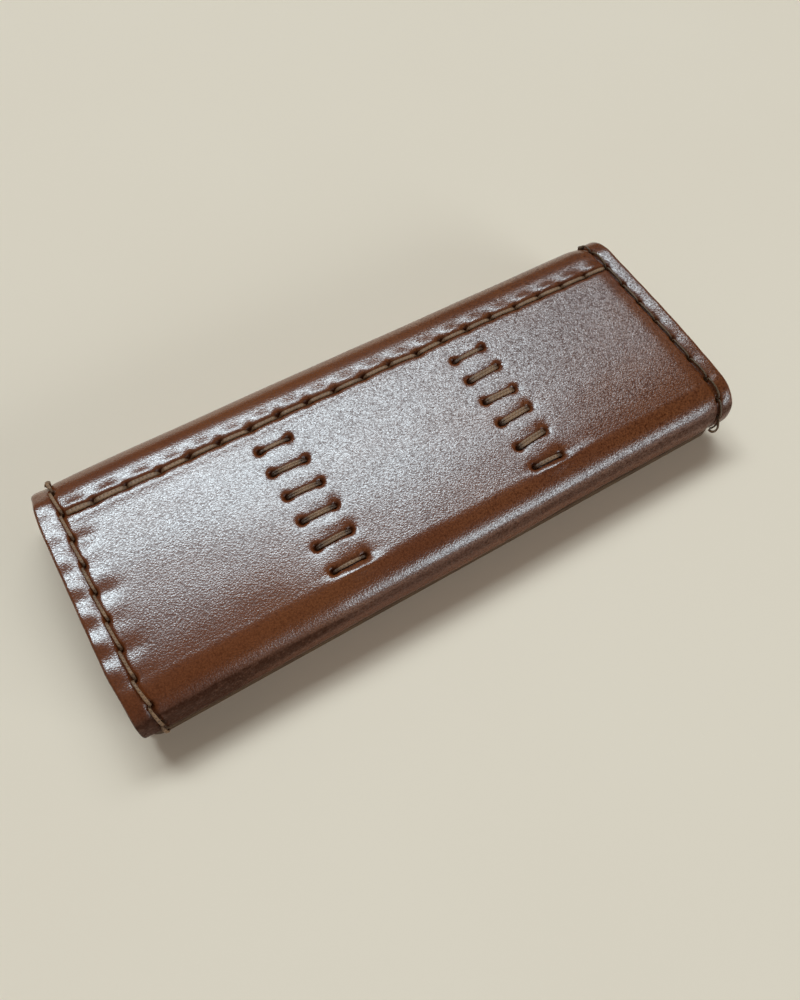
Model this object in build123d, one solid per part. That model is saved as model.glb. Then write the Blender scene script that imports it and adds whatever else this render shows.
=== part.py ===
from build123d import *
import math
import os

os.makedirs("parts", exist_ok=True)

# ---------------------------------------------------------------- dimensions
# A hand-stitched leather case for memory cards, closed and lying on its lid.
# Millimetres. X runs along the case, Y from the front edge (-) to the spine
# (+), Z up. Origin: centre of the underside, which is the lid's outer face.

PITCH = 5.2              # stitch pitch along the case
PITCH_ACROSS = 4.737     # stitch pitch across the case
STITCHES = 20            # stitches of the long seam, from end line to end line

HEIGHT = 13.0            # closed thickness of the leather
R_EDGE = HEIGHT / 2      # round of the front edge and of the spine
HALF_WIDTH = 22.13       # Y of the front edge and of the spine
CY = HALF_WIDTH - R_EDGE  # Y of the centre of both rounds
CZ = HEIGHT / 2          # Z of the centre of both rounds
HALF_LENGTH = 55.3       # X of the two ends of the wrap

T_WRAP = 1.8             # outer leather
T_CAP = 1.4              # end panels
T_FLANGE = 1.2           # turned flanges of the end panels
T_INNER = 1.4            # inner back wall
T_INNER_FLANGE = 1.3
T_DIV = 1.1              # one layer of a divider, folded double

RIM_Z = 2.1              # lower edge of the tray's walls
LEAN = 16.0              # degrees that the front wall leans in under its round

SEAM_Y = 12.97           # long seam
END_LINE_L = -51.82      # stitch lines across the two ends
END_LINE_R = 52.18
CAP_IN = 48.9            # inner face of the end panels
FLANGE_END = 55.0        # outer edge of their flanges

DIV_X = 18.33            # centre of each divider
DIV_HOLE = 2.88          # half the width of a divider's stitch
DIV_ROWS = 6
DIV_ROW_1 = 8.50         # Y of the first row of divider stitches
DIV_FOOT = 4.9           # half width of a divider's foot
DIV_LOW = 3.0            # lower edge of the dividers and inner back wall

WALL_Y = 15.0            # front face of the inner back wall
FLANGE_Y = 10.6          # front edge of its flange

THREAD_W = 0.9           # flat waxed thread
THREAD_T = 0.40
GAP = 0.02
HOLE_R = 0.50            # awl holes
POST_R = 0.42            # thread inside a hole

LID_FRONT = -20.5        # front edge of the lid leather
LID_BACK = CY            # where the spine starts to bend
LID_HALF = 55.2
T_LINING = 0.7
LINING_FRONT = -17.3
LINING_BACK = 14.6
LINING_HALF = 48.3

MAG_L, MAG_W, MAG_T = 16.0, 4.0, 1.0   # magnet bars of the closure
MAG_X = 33.0


# ------------------------------------------------------------------- helpers
def pt(x, y, z):
    return Vector(x, y, z)


def polar(cy, r, deg):
    a = math.radians(deg)
    return (cy + r * math.cos(a), CZ + r * math.sin(a))


def wall_point(d, z):
    """Point of the leaning front wall, d inside its outer face, at height z."""
    r = R_EDGE - d
    y1, z1 = polar(-CY, r, 180 + LEAN)
    s = (z1 - z) / math.cos(math.radians(LEAN))
    return (y1 + s * math.sin(math.radians(LEAN)), z)


def skin_edges(x, d, z_rim=RIM_Z):
    """Section line of the wrap, d inside its outer face: rim, front wall,
    front round, tray floor, spine down to its middle."""
    r = R_EDGE - d
    a = wall_point(d, z_rim)
    b = polar(-CY, r, 180 + LEAN)
    m1 = polar(-CY, r, 135 + LEAN / 2)
    c = (-CY, CZ + r)
    e = (CY, CZ + r)
    m2 = polar(CY, r, 45)
    g = (CY + r, CZ)
    edges = [
        Edge.make_line(pt(x, *a), pt(x, *b)),
        Edge.make_three_point_arc(pt(x, *b), pt(x, *m1), pt(x, *c)),
        Edge.make_line(pt(x, *c), pt(x, *e)),
        Edge.make_three_point_arc(pt(x, *e), pt(x, *m2), pt(x, *g)),
    ]
    return edges, a, g


def band(x0, x1, d_out, d_in, z_rim=RIM_Z):
    """Leather between two depths of the wrap's section, from x0 to x1."""
    e_out, a_out, g_out = skin_edges(x0, d_out, z_rim)
    e_in, a_in, g_in = skin_edges(x0, d_in, z_rim)
    edges = e_out + e_in + [
        Edge.make_line(pt(x0, *a_out), pt(x0, *a_in)),
        Edge.make_line(pt(x0, *g_out), pt(x0, *g_in)),
    ]
    return Solid.extrude(Face(Wire(edges)), Vector(x1 - x0, 0, 0))


def block(x0, x1, y0, y1, z0, z1):
    return Solid.make_box(
        x1 - x0, y1 - y0, z1 - z0, Plane(origin=(x0, y0, z0))
    )


def rod(x, y, z, direction, r, length):
    """Cylinder starting at a point and running along a direction."""
    return Solid.make_cylinder(
        r, length, Plane(origin=(x, y, z), z_dir=direction)
    )


def fuse(first, *others):
    out = first
    for o in others:
        out = out + o
    return out


def cut(first, tools):
    return first.cut(*tools) if tools else first


def single(shape):
    s = shape.solids()
    assert len(s) == 1, f"expected one solid, got {len(s)}"
    return s[0]


def export(name, shape):
    export_step(shape, os.path.join("parts", name + ".step"))
    print(f"{name:24s} solids {len(shape.solids())}  volume {shape.volume:9.2f}")


# ------------------------------------------------------- where the holes are
seam_x = [END_LINE_L + i * PITCH for i in range(STITCHES + 1)]
seam_x[-1] = END_LINE_R
div_rows = [DIV_ROW_1 - k * PITCH_ACROSS for k in range(DIV_ROWS)]


def section_points():
    """Holes of an end line: (y, z, outward y, outward z) on the outer face,
    one stitch apart, from the seam to the rim and from the seam to the spine."""
    out = []
    y = SEAM_Y
    while y > -CY - 0.01:
        out.append((y, HEIGHT, 0.0, 1.0))
        y -= PITCH_ACROSS
    s = -CY - y                       # arc length already used on the round
    step = PITCH_ACROSS * 0.93
    while s / R_EDGE < math.radians(100):
        a = math.pi / 2 + s / R_EDGE
        out.append((-CY + R_EDGE * math.cos(a), CZ + R_EDGE * math.sin(a),
                    math.cos(a), math.sin(a)))
        s += step
    s = SEAM_Y + PITCH_ACROSS - CY
    while s / R_EDGE < math.radians(85):
        a = math.pi / 2 - s / R_EDGE
        out.append((CY + R_EDGE * math.cos(a), CZ + R_EDGE * math.sin(a),
                    math.cos(a), math.sin(a)))
        s += step
    return out


end_points = section_points()


def end_rods(x, depth0, depth1, r):
    """Rods square to the skin at every hole of an end line."""
    rods = []
    for (y, z, ny, nz) in end_points:
        rods.append(rod(x, y - ny * depth0, z - nz * depth0,
                        (0, -ny, -nz), r, depth1 - depth0))
    return rods


seam_holes = [rod(x, SEAM_Y, HEIGHT + 1, (0, 0, -1), HOLE_R, 6.0)
              for x in seam_x[1:-1]]
div_holes = {}
for side, sx in (("left", -1), ("right", 1)):
    div_holes[side] = [
        rod(sx * DIV_X + dx, y, HEIGHT + 1, (0, 0, -1), HOLE_R, 6.0)
        for y in div_rows for dx in (-DIV_HOLE, DIV_HOLE)
    ]
end_holes = {
    "left": end_rods(END_LINE_L, -1.0, 4.5, HOLE_R),
    "right": end_rods(END_LINE_R, -1.0, 4.5, HOLE_R),
}

# --------------------------------------------------------------- outer wrap
# One strip of leather makes the front wall, the tray floor, the spine and
# the lid. It is three bodies here, because it bends along the spine.
tray_wrap = band(-HALF_LENGTH, HALF_LENGTH, 0.0, T_WRAP)
tray_wrap = cut(tray_wrap, seam_holes + div_holes["left"] + div_holes["right"]
                + end_holes["left"] + end_holes["right"])

# bending band of the spine: the lower quarter of the round
x0 = -HALF_LENGTH
y_seam_gap = 0.06
hinge_edges = [
    Edge.make_three_point_arc(pt(x0, CY + R_EDGE, CZ), pt(x0, *polar(CY, R_EDGE, -45)),
                              pt(x0, CY + y_seam_gap, 0)),
    Edge.make_line(pt(x0, CY + y_seam_gap, 0), pt(x0, CY + y_seam_gap, T_WRAP)),
    Edge.make_three_point_arc(pt(x0, CY + y_seam_gap, T_WRAP),
                              pt(x0, *polar(CY, R_EDGE - T_WRAP, -45)),
                              pt(x0, CY + R_EDGE - T_WRAP, CZ)),
    Edge.make_line(pt(x0, CY + R_EDGE - T_WRAP, CZ), pt(x0, CY + R_EDGE, CZ)),
]
wrap_hinge = Solid.extrude(Face(Wire(hinge_edges)), Vector(2 * HALF_LENGTH, 0, 0))

# ------------------------------------------------------------ inner back wall
inner_back_wall = fuse(
    block(-CAP_IN, CAP_IN, WALL_Y, WALL_Y + T_INNER, DIV_LOW, HEIGHT - T_WRAP),
    block(-CAP_IN, CAP_IN, FLANGE_Y, WALL_Y + T_INNER,
          HEIGHT - T_WRAP - T_INNER_FLANGE, HEIGHT - T_WRAP),
)
e_b, a_b, g_b = skin_edges(-60.0, T_WRAP)
b_edges = e_b + [
    Edge.make_line(pt(-60.0, *g_b), pt(-60.0, g_b[0], RIM_Z)),
    Edge.make_line(pt(-60.0, g_b[0], RIM_Z), pt(-60.0, *a_b)),
]
b_inside = Solid.extrude(Face(Wire(b_edges)), Vector(120, 0, 0))
inner_back_wall = single(inner_back_wall.intersect(b_inside))
inner_back_wall = cut(inner_back_wall, seam_holes)


# ----------------------------------------------------------------- end panels
def end_cap(sign):
    """Upright end panel, set in from the end, with a flange turned outward
    along the inside of the wrap."""
    xa = sign * CAP_IN
    e_top, a, g = skin_edges(xa, T_WRAP)
    r_low = R_EDGE - T_WRAP - 0.3
    edges = e_top + [
        Edge.make_line(pt(xa, *g), pt(xa, CY + r_low, CZ)),
        Edge.make_three_point_arc(pt(xa, CY + r_low, CZ),
                                  pt(xa, *polar(CY, r_low, -45)),
                                  pt(xa, CY, CZ - r_low)),
        Edge.make_line(pt(xa, CY, CZ - r_low), pt(xa, *a)),
    ]
    panel = Solid.extrude(Face(Wire(edges)), Vector(sign * T_CAP, 0, 0))
    x1 = sign * FLANGE_END
    flange = band(min(xa, x1), max(xa, x1), T_WRAP, T_WRAP + T_FLANGE)
    return single(panel + flange)


end_cap_left = cut(end_cap(-1), end_holes["left"])
end_cap_right = cut(end_cap(1), end_holes["right"])


# ------------------------------------------------------------------- dividers
def divider(sx, side):
    """One strip folded double, its two feet turned out under the tray floor."""
    xc = sx * DIV_X
    top = HEIGHT - T_WRAP
    y_front = -CY - (R_EDGE - T_WRAP) + 1.9
    web = block(xc - T_DIV, xc + T_DIV, y_front, WALL_Y - 0.1, DIV_LOW,
                top - T_INNER_FLANGE - THREAD_T - 0.12)
    web_top = block(xc - T_DIV, xc + T_DIV, y_front + 1.6, FLANGE_Y - 0.1,
                    DIV_LOW, top)
    feet = block(xc - DIV_FOOT, xc + DIV_FOOT, -CY - 0.6, FLANGE_Y - 0.1,
                 top - T_DIV, top)
    body = fuse(web, web_top, feet)
    # the front corners follow the round of the front edge
    e_top, a, g = skin_edges(-60.0, T_WRAP + 0.02)
    edges = e_top + [
        Edge.make_line(pt(-60.0, *g), pt(-60.0, g[0], RIM_Z)),
        Edge.make_line(pt(-60.0, g[0], RIM_Z), pt(-60.0, *a)),
    ]
    inside = Solid.extrude(Face(Wire(edges)), Vector(120, 0, 0))
    body = single(body.intersect(inside))
    return cut(body, div_holes[side])


divider_left = divider(-1, "left")
divider_right = divider(1, "right")

# --------------------------------------------------------- front wall lining
# A strip glued inside the front wall. It hides two magnet bars.
LIN_TOP = 8.4
LIN_T = 1.4


def lining_section(x, d0, d1, z0, z1):
    p = [wall_point(d0, z0), wall_point(d0, 4.9), wall_point(d1, 4.9), wall_point(d1, z0)]
    e0a = polar(-CY, R_EDGE - d0, 180 + LEAN)
    e1a = polar(-CY, R_EDGE - d1, 180 + LEAN)
    def on_round(d, z):
        r = R_EDGE - d
        return (-CY - math.sqrt(r * r - (z - CZ) ** 2), z)
    def mid_round(d):
        r = R_EDGE - d
        zz = (e0a[1] + z1) / 2
        return (-CY - math.sqrt(r * r - (zz - CZ) ** 2), zz)
    t0 = on_round(d0, z1)
    t1 = on_round(d1, z1)
    return [
        Edge.make_line(pt(x, *p[0]), pt(x, *e0a)),
        Edge.make_three_point_arc(pt(x, *e0a), pt(x, *mid_round(d0)), pt(x, *t0)),
        Edge.make_line(pt(x, *t0), pt(x, *t1)),
        Edge.make_three_point_arc(pt(x, *t1), pt(x, *mid_round(d1)), pt(x, *e1a)),
        Edge.make_line(pt(x, *e1a), pt(x, *p[3])),
        Edge.make_line(pt(x, *p[3]), pt(x, *p[0])),
    ]


front_lining = Solid.extrude(
    Face(Wire(lining_section(-CAP_IN + 0.1, T_WRAP + 0.02, T_WRAP + LIN_T, 2.5, LIN_TOP))),
    Vector(2 * CAP_IN - 0.2, 0, 0))


def wall_box(xc, length, d0, d1, z0, h):
    """Bar lying in the leaning front wall: depths d0 to d1, from z0 up."""
    a = math.radians(LEAN)
    base = wall_point(0, z0)
    # along the wall, upwards, and into the case
    up = Vector(0, -math.sin(a), math.cos(a))
    into = Vector(0, math.cos(a), math.sin(a))
    origin = Vector(xc - length / 2, *base) + into * d0
    pln = Plane(origin=origin, x_dir=(1, 0, 0), z_dir=up.cross(Vector(-1, 0, 0)))
    if pln.z_dir.dot(into) < 0:
        pln = Plane(origin=origin + up * h, x_dir=(1, 0, 0), z_dir=into)
    return Solid.make_box(length, h, d1 - d0, pln)


tray_magnet_bars = []
pockets = []
for sx in (-1, 1):
    tray_magnet_bars.append(wall_box(sx * MAG_X, MAG_L, T_WRAP + 0.06, T_WRAP + 0.06 + MAG_T, 3.0, MAG_W))
    pockets.append(wall_box(sx * MAG_X, MAG_L + 0.1, T_WRAP - 0.4, T_WRAP + 0.10 + MAG_T, 2.95, MAG_W + 0.1))
front_lining = single(cut(front_lining, pockets))
# magnets keep clear of the round above the leaning wall
e_m, a_m, g_m = skin_edges(-60.0, T_WRAP + 0.03)
m_edges = e_m + [
    Edge.make_line(pt(-60.0, *g_m), pt(-60.0, g_m[0], RIM_Z)),
    Edge.make_line(pt(-60.0, g_m[0], RIM_Z), pt(-60.0, *a_m)),
]
m_inside = Solid.extrude(Face(Wire(m_edges)), Vector(120, 0, 0))
tray_magnet_bars = [single(b.intersect(m_inside)) for b in tray_magnet_bars]
tray_magnets = Compound(children=tray_magnet_bars)

# the dividers stop short of the lining
div_clear = Solid.extrude(
    Face(Wire(lining_section(-60.0, T_WRAP - 0.5, T_WRAP + LIN_T + 0.1, 2.2, LIN_TOP + 0.1))),
    Vector(120, 0, 0))
divider_left = single(divider_left.cut(div_clear))
divider_right = single(divider_right.cut(div_clear))

# ------------------------------------------------------------------ threads
# Saddle stitch: one line of thread on each face, joined in every hole.
top_z = HEIGHT + GAP
low_flange = HEIGHT - T_WRAP - T_INNER_FLANGE
w = THREAD_W / 2
sx0, sx1 = seam_x[1] - PITCH + w + 0.15, seam_x[-2] + PITCH - w - 0.15
inner0, inner1 = -CAP_IN + 0.3, CAP_IN - 0.3
seam_thread = fuse(
    block(sx0, sx1, SEAM_Y - w, SEAM_Y + w, top_z, top_z + THREAD_T),
    block(inner0, inner1, SEAM_Y - w, SEAM_Y + w,
          low_flange - GAP - THREAD_T, low_flange - GAP),
    *[rod(x, SEAM_Y, low_flange - GAP - THREAD_T / 2, (0, 0, 1), POST_R,
          top_z + THREAD_T / 2 - (low_flange - GAP - THREAD_T / 2))
      for x in seam_x[1:-1]],
)
seam_thread = single(seam_thread)


def end_thread(x, side):
    t_in = T_WRAP + T_FLANGE
    outer = band(x - w, x + w, -GAP - THREAD_T, -GAP, RIM_Z + 0.4)
    inner = band(x - w, x + w, t_in + GAP, t_in + GAP + THREAD_T, RIM_Z + 0.4)
    posts = end_rods(x, -GAP - THREAD_T / 2, t_in + GAP + THREAD_T / 2, POST_R)
    return single(fuse(outer, inner, *posts))


end_thread_left = end_thread(END_LINE_L, "left")
end_thread_right = end_thread(END_LINE_R, "right")


def divider_thread(sx):
    xc = sx * DIV_X
    zl = HEIGHT - T_WRAP - T_DIV
    parts = []
    for y in div_rows:
        parts.append(block(xc - DIV_HOLE - w, xc + DIV_HOLE + w, y - w, y + w,
                           top_z, top_z + THREAD_T))
        for dx in (-DIV_HOLE, DIV_HOLE):
            parts.append(rod(xc + dx, y, zl - GAP - THREAD_T / 2, (0, 0, 1), POST_R,
                             top_z + THREAD_T / 2 - (zl - GAP - THREAD_T / 2)))
    for dx in (-DIV_HOLE, DIV_HOLE):
        parts.append(block(xc + dx - w, xc + dx + w, div_rows[-1] - w, div_rows[0] + w,
                           zl - GAP - THREAD_T, zl - GAP))
    return single(fuse(parts[0], *parts[1:]))


divider_thread_left = divider_thread(-1)
divider_thread_right = divider_thread(1)

# ---------------------------------------------------------------------- lid
lid_panel = block(-LID_HALF, LID_HALF, LID_FRONT, LID_BACK, 0, T_WRAP)
corners = [e for e in lid_panel.edges().filter_by(Axis.Z) if e.center().Y < 0]
lid_panel = lid_panel.fillet(3.0, corners)
lid_lining = block(-LINING_HALF, LINING_HALF, LINING_FRONT, LINING_BACK,
                   T_WRAP, T_WRAP + T_LINING)
corners = lid_lining.edges().filter_by(Axis.Z)
lid_lining = lid_lining.fillet(1.5, corners)

lid_bars = []
lid_pockets = []
MAG_Y0 = -13.6
for sx in (-1, 1):
    lid_bars.append(block(sx * MAG_X - MAG_L / 2, sx * MAG_X + MAG_L / 2,
                          MAG_Y0 - MAG_W / 2 + 1.0, MAG_Y0 + MAG_W / 2 + 1.0,
                          T_WRAP - MAG_T - 0.02, T_WRAP - 0.02))
    lid_pockets.append(block(sx * MAG_X - MAG_L / 2 - 0.05, sx * MAG_X + MAG_L / 2 + 0.05,
                             MAG_Y0 - MAG_W / 2 + 0.95, MAG_Y0 + MAG_W / 2 + 1.05,
                             T_WRAP - MAG_T - 0.05, T_WRAP + 0.5))
lid_magnets = Compound(children=lid_bars)

# perimeter stitching of the lid lining, sunk in a groove on both faces
LST = 2.2
lx, ly0, ly1 = LINING_HALF - LST, LINING_FRONT + LST, LINING_BACK - LST
GROOVE = 0.75
gw = GROOVE / 2
ring_t = 0.32


def ring(z0, z1, half):
    outer = block(-lx - half, lx + half, ly0 - half, ly1 + half, z0, z1)
    inner = block(-lx + half, lx - half, ly0 + half, ly1 - half, z0 - 1, z1 + 1)
    return single(outer.cut(inner))


nx = round(2 * lx / PITCH)
ny = round((ly1 - ly0) / PITCH)
lid_holes = []
for i in range(nx + 1):
    xx = -lx + 2 * lx * i / nx
    lid_holes += [(xx, ly0), (xx, ly1)]
for j in range(1, ny):
    yy = ly0 + (ly1 - ly0) * j / ny
    lid_holes += [(-lx, yy), (lx, yy)]
groove_low = ring(-1.0, 0.55, gw)
groove_top = ring(T_WRAP + T_LINING - 0.2, T_WRAP + T_LINING + 1, gw)
posts_cut = [rod(a, b, -1, (0, 0, 1), 0.33, 5) for a, b in lid_holes]
lid_panel = single(cut(lid_panel, [groove_low] + lid_pockets + posts_cut))
lid_lining = single(cut(lid_lining, [groove_top] + posts_cut))
lid_thread = single(fuse(
    ring(0.18, 0.18 + ring_t, gw - 0.05),
    ring(T_WRAP + T_LINING - 0.17, T_WRAP + T_LINING - 0.17 + ring_t, gw - 0.05),
    *[rod(a, b, 0.3, (0, 0, 1), 0.28, T_WRAP + T_LINING - 0.3) for a, b in lid_holes],
))

# ------------------------------------------------------------------- export
for name, shape in (
    ("tray_wrap", single(tray_wrap)),
    ("wrap_hinge", wrap_hinge),
    ("inner_back_wall", single(inner_back_wall)),
    ("end_cap_left", single(end_cap_left)),
    ("end_cap_right", single(end_cap_right)),
    ("divider_left", divider_left),
    ("divider_right", divider_right),
    ("front_lining", front_lining),
    ("tray_magnets", tray_magnets),
    ("seam_thread", seam_thread),
    ("end_thread_left", end_thread_left),
    ("end_thread_right", end_thread_right),
    ("divider_thread_left", divider_thread_left),
    ("divider_thread_right", divider_thread_right),
    ("lid_panel", lid_panel),
    ("lid_lining", lid_lining),
    ("lid_magnets", lid_magnets),
    ("lid_thread", lid_thread),
):
    export(name, shape)
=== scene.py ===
import math

import bmesh
import bpy
import numpy as np
from mathutils import Matrix, Vector


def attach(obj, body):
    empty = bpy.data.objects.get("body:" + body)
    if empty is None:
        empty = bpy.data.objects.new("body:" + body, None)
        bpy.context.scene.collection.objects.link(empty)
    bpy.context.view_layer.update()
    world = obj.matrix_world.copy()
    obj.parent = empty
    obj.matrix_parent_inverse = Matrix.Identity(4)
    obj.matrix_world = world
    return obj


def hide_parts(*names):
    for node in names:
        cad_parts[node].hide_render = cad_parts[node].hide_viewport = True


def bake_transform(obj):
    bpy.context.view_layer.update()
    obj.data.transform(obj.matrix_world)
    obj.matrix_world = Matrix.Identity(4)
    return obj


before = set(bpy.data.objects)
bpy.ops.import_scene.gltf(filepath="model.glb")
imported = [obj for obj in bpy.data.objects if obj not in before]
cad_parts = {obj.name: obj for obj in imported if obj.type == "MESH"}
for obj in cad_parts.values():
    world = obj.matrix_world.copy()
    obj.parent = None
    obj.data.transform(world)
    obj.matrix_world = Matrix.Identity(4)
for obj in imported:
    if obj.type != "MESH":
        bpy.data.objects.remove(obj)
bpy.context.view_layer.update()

MM = 0.001

# ------------------------------------------------------------------ dimensions
# Millimetres, as in the CAD model. X runs along the case, Y from the front edge
# to the spine, Z up. The case lies on its lid, with the tray's floor on top.
CY, CZ, R = 15.63, 6.5, 6.5          # centres and radius of both long rounds
TOP = 13.0
HALF = 55.3                          # half length of the leather
T_WRAP = 1.8
T_FLANGE = 1.2
LEAN = math.radians(16.0)            # lean of the front wall
RIM_Z = 2.1
SEAM_Y = 12.97
LINE_L, LINE_R = -51.82, 52.18       # end seams
CAP_X = 49.6                         # middle of the end panels
LID_FRONT, LID_HALF = -20.5, 55.2
MAG_X, MAG_L = 33.0, 16.0


def G(d, w):
    return np.exp(-(np.asarray(d) / w) ** 2)


def ramp(x, a, b):
    t = np.clip((np.asarray(x, float) - a) / (b - a), 0, 1)
    return t * t * (3 - 2 * t)


# The wrap's outer section, by arc length U. U is Y on the tray floor, falls
# round the front edge and down the front wall, and rises round the spine and
# along the underside of the lid.
ARC_F = math.radians(106.0)
U_TAN = -CY - R * ARC_F
_tan = (-CY + R * math.cos(math.radians(196)), CZ + R * math.sin(math.radians(196)))
U_RIM = U_TAN - (_tan[1] - RIM_Z) / math.cos(LEAN)
U_HINGE0 = CY + R * math.pi / 2
U_HINGE1 = CY + R * math.pi
U_LID1 = U_HINGE1 + CY - LID_FRONT


def section(u):
    """Points and outward normals of the outer section at arc lengths u."""
    u = np.atleast_1d(np.asarray(u, float))
    y, z, ny, nz = (np.zeros_like(u) for _ in range(4))
    m = np.abs(u) <= CY
    y[m], z[m], ny[m], nz[m] = u[m], TOP, 0.0, 1.0
    m = (u < -CY) & (u >= U_TAN)
    a = math.pi / 2 + (-CY - u[m]) / R
    y[m], z[m], ny[m], nz[m] = -CY + R * np.cos(a), CZ + R * np.sin(a), np.cos(a), np.sin(a)
    m = u < U_TAN
    s = U_TAN - u[m]
    y[m], z[m] = _tan[0] + s * math.sin(LEAN), _tan[1] - s * math.cos(LEAN)
    ny[m], nz[m] = -math.cos(LEAN), -math.sin(LEAN)
    m = (u > CY) & (u <= U_HINGE1)
    a = math.pi / 2 - (u[m] - CY) / R
    y[m], z[m], ny[m], nz[m] = CY + R * np.cos(a), CZ + R * np.sin(a), np.cos(a), np.sin(a)
    m = u > U_HINGE1
    y[m], z[m], ny[m], nz[m] = CY - (u[m] - U_HINGE1), 0.0, 0.0, -1.0
    return y, z, ny, nz


# --------------------------------------------------------------- stitch holes
# Pricked by hand, so each hole strays a little from the even pitch.
seam_x = [LINE_L + 5.2 * i for i in range(20)] + [LINE_R]
seam_dx = [0.1, -0.12, 0.05, 0.08, -0.03, -0.1, 0.05, 0.0, 0.02, -0.1, 0.1, 0.05, 0.22,
           0.15, 0.1, 0.03, 0.2, 0.05, -0.05, 0.1, 0.0]
seam_dy = [-0.03, -0.12, -0.07, -0.2, -0.05, 0.04, -0.06, 0.09, 0.05, -0.02, -0.02, 0.08,
           -0.22, 0.12, 0.13, 0.2, 0.06, 0.1, 0.0, -0.07, -0.12]
SEAM = [(x + dx, SEAM_Y + dy) for x, dx, dy in zip(seam_x, seam_dx, seam_dy)]
ROWS = {
    "left": [((-21.35, 8.45), (-15.95, 8.52)), ((-21.38, 3.96), (-15.42, 3.80)),
             ((-21.22, -0.80), (-15.32, -0.96)), ((-21.24, -5.58), (-15.26, -5.62)),
             ((-21.34, -10.48), (-15.34, -10.38)), ((-20.98, -15.02), (-15.50, -15.06))],
    "right": [((15.38, 8.32), (21.40, 8.56)), ((15.42, 3.68), (21.52, 4.04)),
              ((15.42, -1.10), (21.26, -1.20)), ((15.36, -5.80), (21.34, -5.44)),
              ((15.30, -11.02), (21.00, -10.44)), ((15.64, -15.20), (20.86, -15.36))],
}
END_U = [22.11, 17.71, 12.97, 8.233, 3.496, -1.241, -5.978, -10.715, -15.452, -20.19, -24.59,
         -28.7]


def line_left(u):
    return np.interp(u, [-30, -24.6, -20.2, -15.5, -10.7, -6, -1.2, 3.5, 8.2, 12.97, 17, 26],
                     [-51.75, -51.72, -51.85, -52.2, -52.16, -52.14, -52.1, -51.96, -51.84,
                      -51.72, -51.76, -51.82])


def line_right(u):
    return 0.05 * np.cos(np.asarray(u) * 1.3264) + np.interp(u, [-30, -20, -10, 0, 10, 26], [52.1, 52.16, 52.26, 52.24, 52.18, 52.18])


def spacing(a, b, centres, half, fine, coarse, growth=0.35):
    """Increasing positions from a to b, close together near the centres."""
    c = np.array(sorted(centres))
    out = [a]
    while out[-1] < b:
        p = out[-1]
        d = max(0.0, float(np.min(np.abs(c - p))) - half) if len(c) else 99.0
        ahead = max(0.0, float(np.min(np.abs(c - (p + min(coarse, fine + growth * d))))) - half) if len(c) else 99.0
        out.append(p + min(coarse, fine + growth * min(d, ahead)))
    out = np.array(out)
    return a + (out - a) * (b - a) / (out[-1] - a)


def edge_lines(r):
    return np.array([0.0, 0.04, 0.14, 0.32, 0.58, 1.0]) * r


def with_edges(lines, r0, r1):
    """Adds closer lines at both ends, for rounded cut edges."""
    a, b = lines[0], lines[-1]
    inner = lines[(lines > a + r0 * 1.25) & (lines < b - r1 * 1.25)]
    first = a + edge_lines(r0) if r0 else np.array([a])
    last = b - edge_lines(r1)[::-1] if r1 else np.array([b])
    return np.concatenate([first, inner, last])


def drop(e0, e1, r):
    """How far a rounded edge falls, e0 and e1 from two edges that meet."""
    a = np.maximum(0, r - e0)
    b = np.maximum(0, r - e1)
    return r - np.sqrt(np.maximum(0, r * r - a * a - b * b))


# ------------------------------------------------------------- making of meshes
def new_object(name, verts, faces, materials, face_mat=None, smooth=True):
    mesh = bpy.data.meshes.new(name)
    mesh.from_pydata((np.asarray(verts) * MM).tolist(), [], faces)
    for m in materials:
        mesh.materials.append(m)
    if face_mat is not None:
        mesh.polygons.foreach_set("material_index", np.asarray(face_mat, np.int32))
    mesh.polygons.foreach_set("use_smooth", np.full(len(mesh.polygons), smooth))
    mesh.update()
    obj = bpy.data.objects.new(name, mesh)
    bpy.context.scene.collection.objects.link(obj)
    return obj


def set_attribute(obj, name, values):
    a = obj.data.attributes.new(name, "FLOAT", "POINT")
    a.data.foreach_set("value", np.asarray(values, np.float32))


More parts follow.
